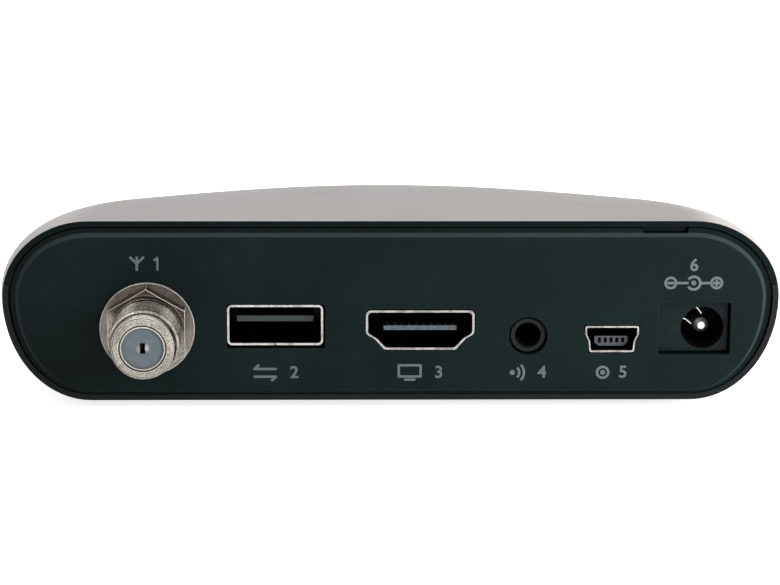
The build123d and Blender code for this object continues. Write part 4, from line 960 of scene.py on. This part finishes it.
class RECEIVER_OT_stage(bpy.types.Operator):
    """The pale floor, the soft lights and the camera"""
    bl_idname = "receiver.stage"
    bl_label = "Stage"

    def execute(self, context):
        scene = context.scene
        scene.view_settings.view_transform = "Standard"
        self.floor(scene)
        self.world(scene)
        for name, (place, size, power) in LAMPS.items():
            self.lamp(scene, name, Vector(place), size, power)
        self.camera(scene)
        return {"FINISHED"}

    def floor(self, scene):
        """A pale plane under the receiver."""
        bm = bmesh.new()
        bmesh.ops.create_grid(bm, x_segments=2, y_segments=2, size=FLOOR_HALF)
        mesh = bpy.data.meshes.new("floor")
        bm.to_mesh(mesh)
        bm.free()
        floor = bpy.data.objects.new("floor", mesh)
        scene.collection.objects.link(floor)
        mesh.materials.append(white_stage())

    def world(self, scene):
        """White to the camera, in mirrors and through glass, and dimmer as a light."""
        world = bpy.data.worlds.new("soft_white")
        scene.world = world
        world.use_nodes = True
        tree = world.node_tree
        start = Link(tree, 0.0)
        camera, mirrored, through = (start.node("ShaderNodeLightPath", {}, {}, name) for name in
                                     ("Is Camera Ray", "Is Glossy Ray", "Is Transmission Ray"))
        seen = camera.maths("MAXIMUM", mirrored).maths("MAXIMUM", through)
        background = tree.nodes["Background"]
        plug(tree, (1.0, 1.0, 1.0), background.inputs["Color"])
        plug(tree, seen.ranged(WORLD_LIGHT, 1.0), background.inputs["Strength"])

    def lamp(self, scene, name, place, size, power):
        """A soft rectangular lamp that points at the receiver."""
        light = bpy.data.lights.new(name, "AREA")
        light.shape = "RECTANGLE"
        light.size, light.size_y = size
        light.energy = power
        obj = bpy.data.objects.new(name, light)
        obj.location = place
        obj.rotation_euler = (LOOK_AT - place).to_track_quat("-Z", "Y").to_euler()
        obj.visible_glossy = name not in SOFT_LAMPS
        scene.collection.objects.link(obj)

    def camera(self, scene):
        """The camera at its place, turned by its yaw, pitch and roll."""
        yaw, pitch, roll = (math.radians(a) for a in (CAMERA_YAW, CAMERA_PITCH, CAMERA_ROLL))
        ahead = Vector((-math.sin(yaw) * math.cos(pitch), -math.cos(yaw) * math.cos(pitch), -math.sin(pitch)))
        level = Vector((-math.cos(yaw), math.sin(yaw), 0))
        down = ahead.cross(level)
        right = math.cos(roll) * level - math.sin(roll) * down
        down = math.sin(roll) * level + math.cos(roll) * down
        data = bpy.data.cameras.new("camera")
        data.sensor_width = SENSOR
        data.lens = FOCAL_PIXELS / PICTURE_WIDTH * SENSOR
        data.clip_start, data.clip_end = CLIP
        camera = bpy.data.objects.new("camera", data)
        matrix = Matrix((right, -down, -ahead)).transposed().to_4x4()
        camera.matrix_world = Matrix.Translation(CAMERA_PLACE) @ matrix
        scene.collection.objects.link(camera)
        scene.camera = camera


class RECEIVER_PT_panel(bpy.types.Panel):
    """Lists the receiver's sizes, colours and steps"""
    bl_idname = "RECEIVER_PT_panel"
    bl_label = "Receiver"
    bl_space_type = "VIEW_3D"
    bl_region_type = "UI"
    bl_category = "Receiver"

    def draw(self, context):
        for settings in (getattr(context.scene, name) for name in SETTINGS):
            for prop in settings.bl_rna.properties:
                if prop.identifier not in ("rna_type", "name"):
                    self.layout.prop(settings, prop.identifier)
        for operator in OPERATORS:
            self.layout.operator(operator.bl_idname)


# ---------------------------------------------------------------- sizes and places
EDGE_ROUND = 0.16 * MM
FAINT = 0.01 * MM           # height of a barely felt texture
LIP_HIGHLIGHT = 0.55 * MM     # width of the painted highlight along the cover's rear edge
# painted highlight colour of the rear panel's chamfers and edges
HIGHLIGHT_BLACK = srgb(41, 51, 50)
# painted highlight colours of the nickel's sectors and sharp edges
NICKEL_PAINTED_GLEAM = srgb(214, 206, 198)
NICKEL_EDGE_HIGHLIGHT = srgb(244, 240, 234)
RING_WANDER = 9.0           # how far noise bends the rings of turning, in radians
GROOVE_BLUR = 0.03          # soft border of the painted shade in a groove, in millimetres
WEAVE_RATE = 5200.0         # of the boards' glass fibre, in radians per metre
# Nodes with a finish of their own instead of their slot's.
OWN_FINISHES = {
    "usb_shell": "usb_steel", "hdmi_shell": "hdmi_steel", "mini_usb_shell": "mini_steel",
    "usb_tongue": "usb_tongue", "hdmi_tongue": "hdmi_tongue", "mini_usb_tongue": "mini_tongue",
    "usb_contacts": "inner_contact", "hdmi_contacts": "inner_contact", "mini_usb_contacts": "inner_contact",
    "aerial_contact": "inner_contact", "aerial_washer": "washer_nickel", "aerial_nut": "nut_nickel",
    "power_jack_body": "jack_plastic", "power_jack_pin": "bright_pin", "power_jack_spring": "sprung_bronze",
}
DISH_RADIUS = 0.8 * MM
DISH_DEEP = 0.08 * MM
BARREL_SEGMENTS = 96
THREAD_RADIUS = 4.76 * MM
THREAD_STEPS = 8            # rings of vertices in one turn
THREAD_FLANK = 0.42         # half a groove's width over the pitch
THREAD_RUN_IN = 1.5         # depth gained over the first turn, where 1 is full depth
THREAD_STOP = 0.2 * MM
THREAD_SMOOTH = 50.0
ON_RADIUS = 1e-6
NECK_RELIEF = 0.3 * MM
FLANGE = 1.1 * MM
# The barrel's end from its bore outwards: depth from the tip and radius, in millimetres.
BARREL_FACE = ((0.25, 2.82), (0.06, 2.83), (0.0, 2.86), (0.0, 2.98), (0.04, 3.02), (0.45, 3.03), (0.45, 3.2),
               (0.08, 3.21), (0.03, 3.26), (0.24, 4.03), (0.5, 4.05), (0.5, 4.12), (0.27, 4.14), (0.7, 4.42),
               (1.4, 4.5), (1.9, 4.5), (1.96, 4.42), (2.06, 4.46), (2.2, 4.66), (2.34, 4.76))
LEAF_DEEP, LEAF_LONG, LEAF_THICK = 0.5 * MM, 1.5 * MM, 0.14 * MM
# The leaves' tips about the pin, (right, up) in millimetres from the hole's wall inwards.
LEAF_LINES = {
    "upper_leaf": ((-0.95, 2.85), (-0.6, 2.55), (-0.1, 1.9)),
    "side_leaf": ((-2.75, 1.25), (-2.1, 0.95), (-1.5, 0.4)),
}
NUMERAL_SHARE = 0.73        # a numeral's height over its font size
NUMERAL_BOLD = 0.045 * MM
NUMERAL_LINE = 0.17         # a numeral's line over its height
NUMERAL_STEPS = 6
RING_SEGMENTS = 40
BAR_CORNERS = 8
STROKE_STEP = 0.0015 * MM
INK_LIFT = 0.008 * MM
INK_THICK = 0.012 * MM
DOT = 0.34 * MM
REACH = 0.2                 # well in front of the receiver

LABEL_LOW = 5.35 * MM       # middle of the marks under the sockets
LABEL_HIGH = 20.8 * MM      # and of those above
POWER_MARKS_X = -41.4 * MM
MARK_PLACES = {
    "aerial": (AERIAL.x - 1.5 * MM, LABEL_HIGH),
    "data": (USB_X - 2.6 * MM, LABEL_LOW),
    "video": (HDMI_X - 2.6 * MM, LABEL_LOW),
    "sound": (SOUND_X - 2.0 * MM, LABEL_LOW),
    "remote_eye": (MINI_X - 1.6 * MM, LABEL_LOW),
    "power": (POWER_MARKS_X, LABEL_HIGH - 0.3 * MM),
}
PICTOGRAMS = {
    "aerial": (draw_aerial, (AERIAL.x + 1.3 * MM, LABEL_HIGH)),
    "data": (draw_exchange, (USB_X + 1.4 * MM, LABEL_LOW)),
    "video": (draw_screen, (HDMI_X + 1.4 * MM, LABEL_LOW)),
    "sound": (draw_sound, (SOUND_X + 1.2 * MM, LABEL_LOW)),
    "remote_eye": (draw_eye, (MINI_X + 1.2 * MM, LABEL_LOW)),
    "power": (draw_polarity, (POWER_MARKS_X, 18.05 * MM)),
}
KEY_MARKS = {"power_key": draw_power, "channel_down_key": draw_down, "channel_up_key": draw_up}

SHOWN_DIGITS = "0125"
DIGITS_ACROSS = 4.4         # digits that would fill the display's width
DIGIT_HALF_WIDTH, DIGIT_HALF_HEIGHT = 1.25 * MM, 2.2 * MM
SEGMENT_WIDTH = 0.45 * MM
SEGMENT_ENDS = {
    "top": ((-0.8, 1), (0.8, 1)), "middle": ((-0.8, 0), (0.8, 0)), "bottom": ((-0.8, -1), (0.8, -1)),
    "high_left": ((-1, 0.12), (-1, 0.88)), "high_right": ((1, 0.12), (1, 0.88)),
    "low_left": ((-1, -0.88), (-1, -0.12)), "low_right": ((1, -0.88), (1, -0.12)),
}
SEGMENTS = {
    "0": ("top", "bottom", "high_left", "high_right", "low_left", "low_right"),
    "1": ("high_right", "low_right"),
    "2": ("top", "middle", "bottom", "high_right", "low_left"),
    "5": ("top", "middle", "bottom", "high_left", "low_right"),
}

FLOOR_HALF = 4.0
WORLD_LIGHT = 0.5
STAGE_GLOW = 0.78
LOOK_AT = Vector((0, 0, 0.012))
LAMPS = {
    "key_light": ((0.5, 0.5, 0.9), (0.9, 0.9), 2.3),
    "fill_light": ((-0.6, 0.1, 0.3), (0.6, 0.6), 3.4),
    "side_light": ((-0.17, 0.16, 0.08), (0.1, 0.1), 0.55),
    "front_light": ((0.2, -0.9, 0.6), (0.8, 0.8), 2.0),
}
SOFT_LAMPS = ("fill_light", "side_light")      # too near to be mirrored in the cover
CAMERA_PLACE = Vector((0.00833, 0.41645, 0.11293))
CAMERA_YAW, CAMERA_PITCH, CAMERA_ROLL = 1.213, 14.103, 0.248
FOCAL_PIXELS = 2885.05
PICTURE_WIDTH = 780
SENSOR = 36.0
CLIP = (0.01, 20.0)

SETTINGS = {"receiver_cover": CoverSettings, "receiver_panel": PanelSettings, "receiver_metal": MetalSettings,
            "receiver_marks": MarkSettings}
OPERATORS = (RECEIVER_OT_casing, RECEIVER_OT_aerial, RECEIVER_OT_leaves, RECEIVER_OT_marks,
             RECEIVER_OT_front, RECEIVER_OT_stage)
CLASSES = (*SETTINGS.values(), *OPERATORS, RECEIVER_PT_panel)


def register():
    for made in CLASSES:
        bpy.utils.register_class(made)
    for name, settings in SETTINGS.items():
        setattr(bpy.types.Scene, name, bpy.props.PointerProperty(type=settings))


def unregister():
    for name in SETTINGS:
        delattr(bpy.types.Scene, name)
    for made in reversed(CLASSES):
        bpy.utils.unregister_class(made)


def main():
    register()
    bpy.ops.receiver.casing()
    bpy.ops.receiver.aerial()
    bpy.ops.receiver.leaves()
    bpy.ops.receiver.marks()
    bpy.ops.receiver.front()
    bpy.ops.receiver.stage()


if __name__ == "__main__":
    main()
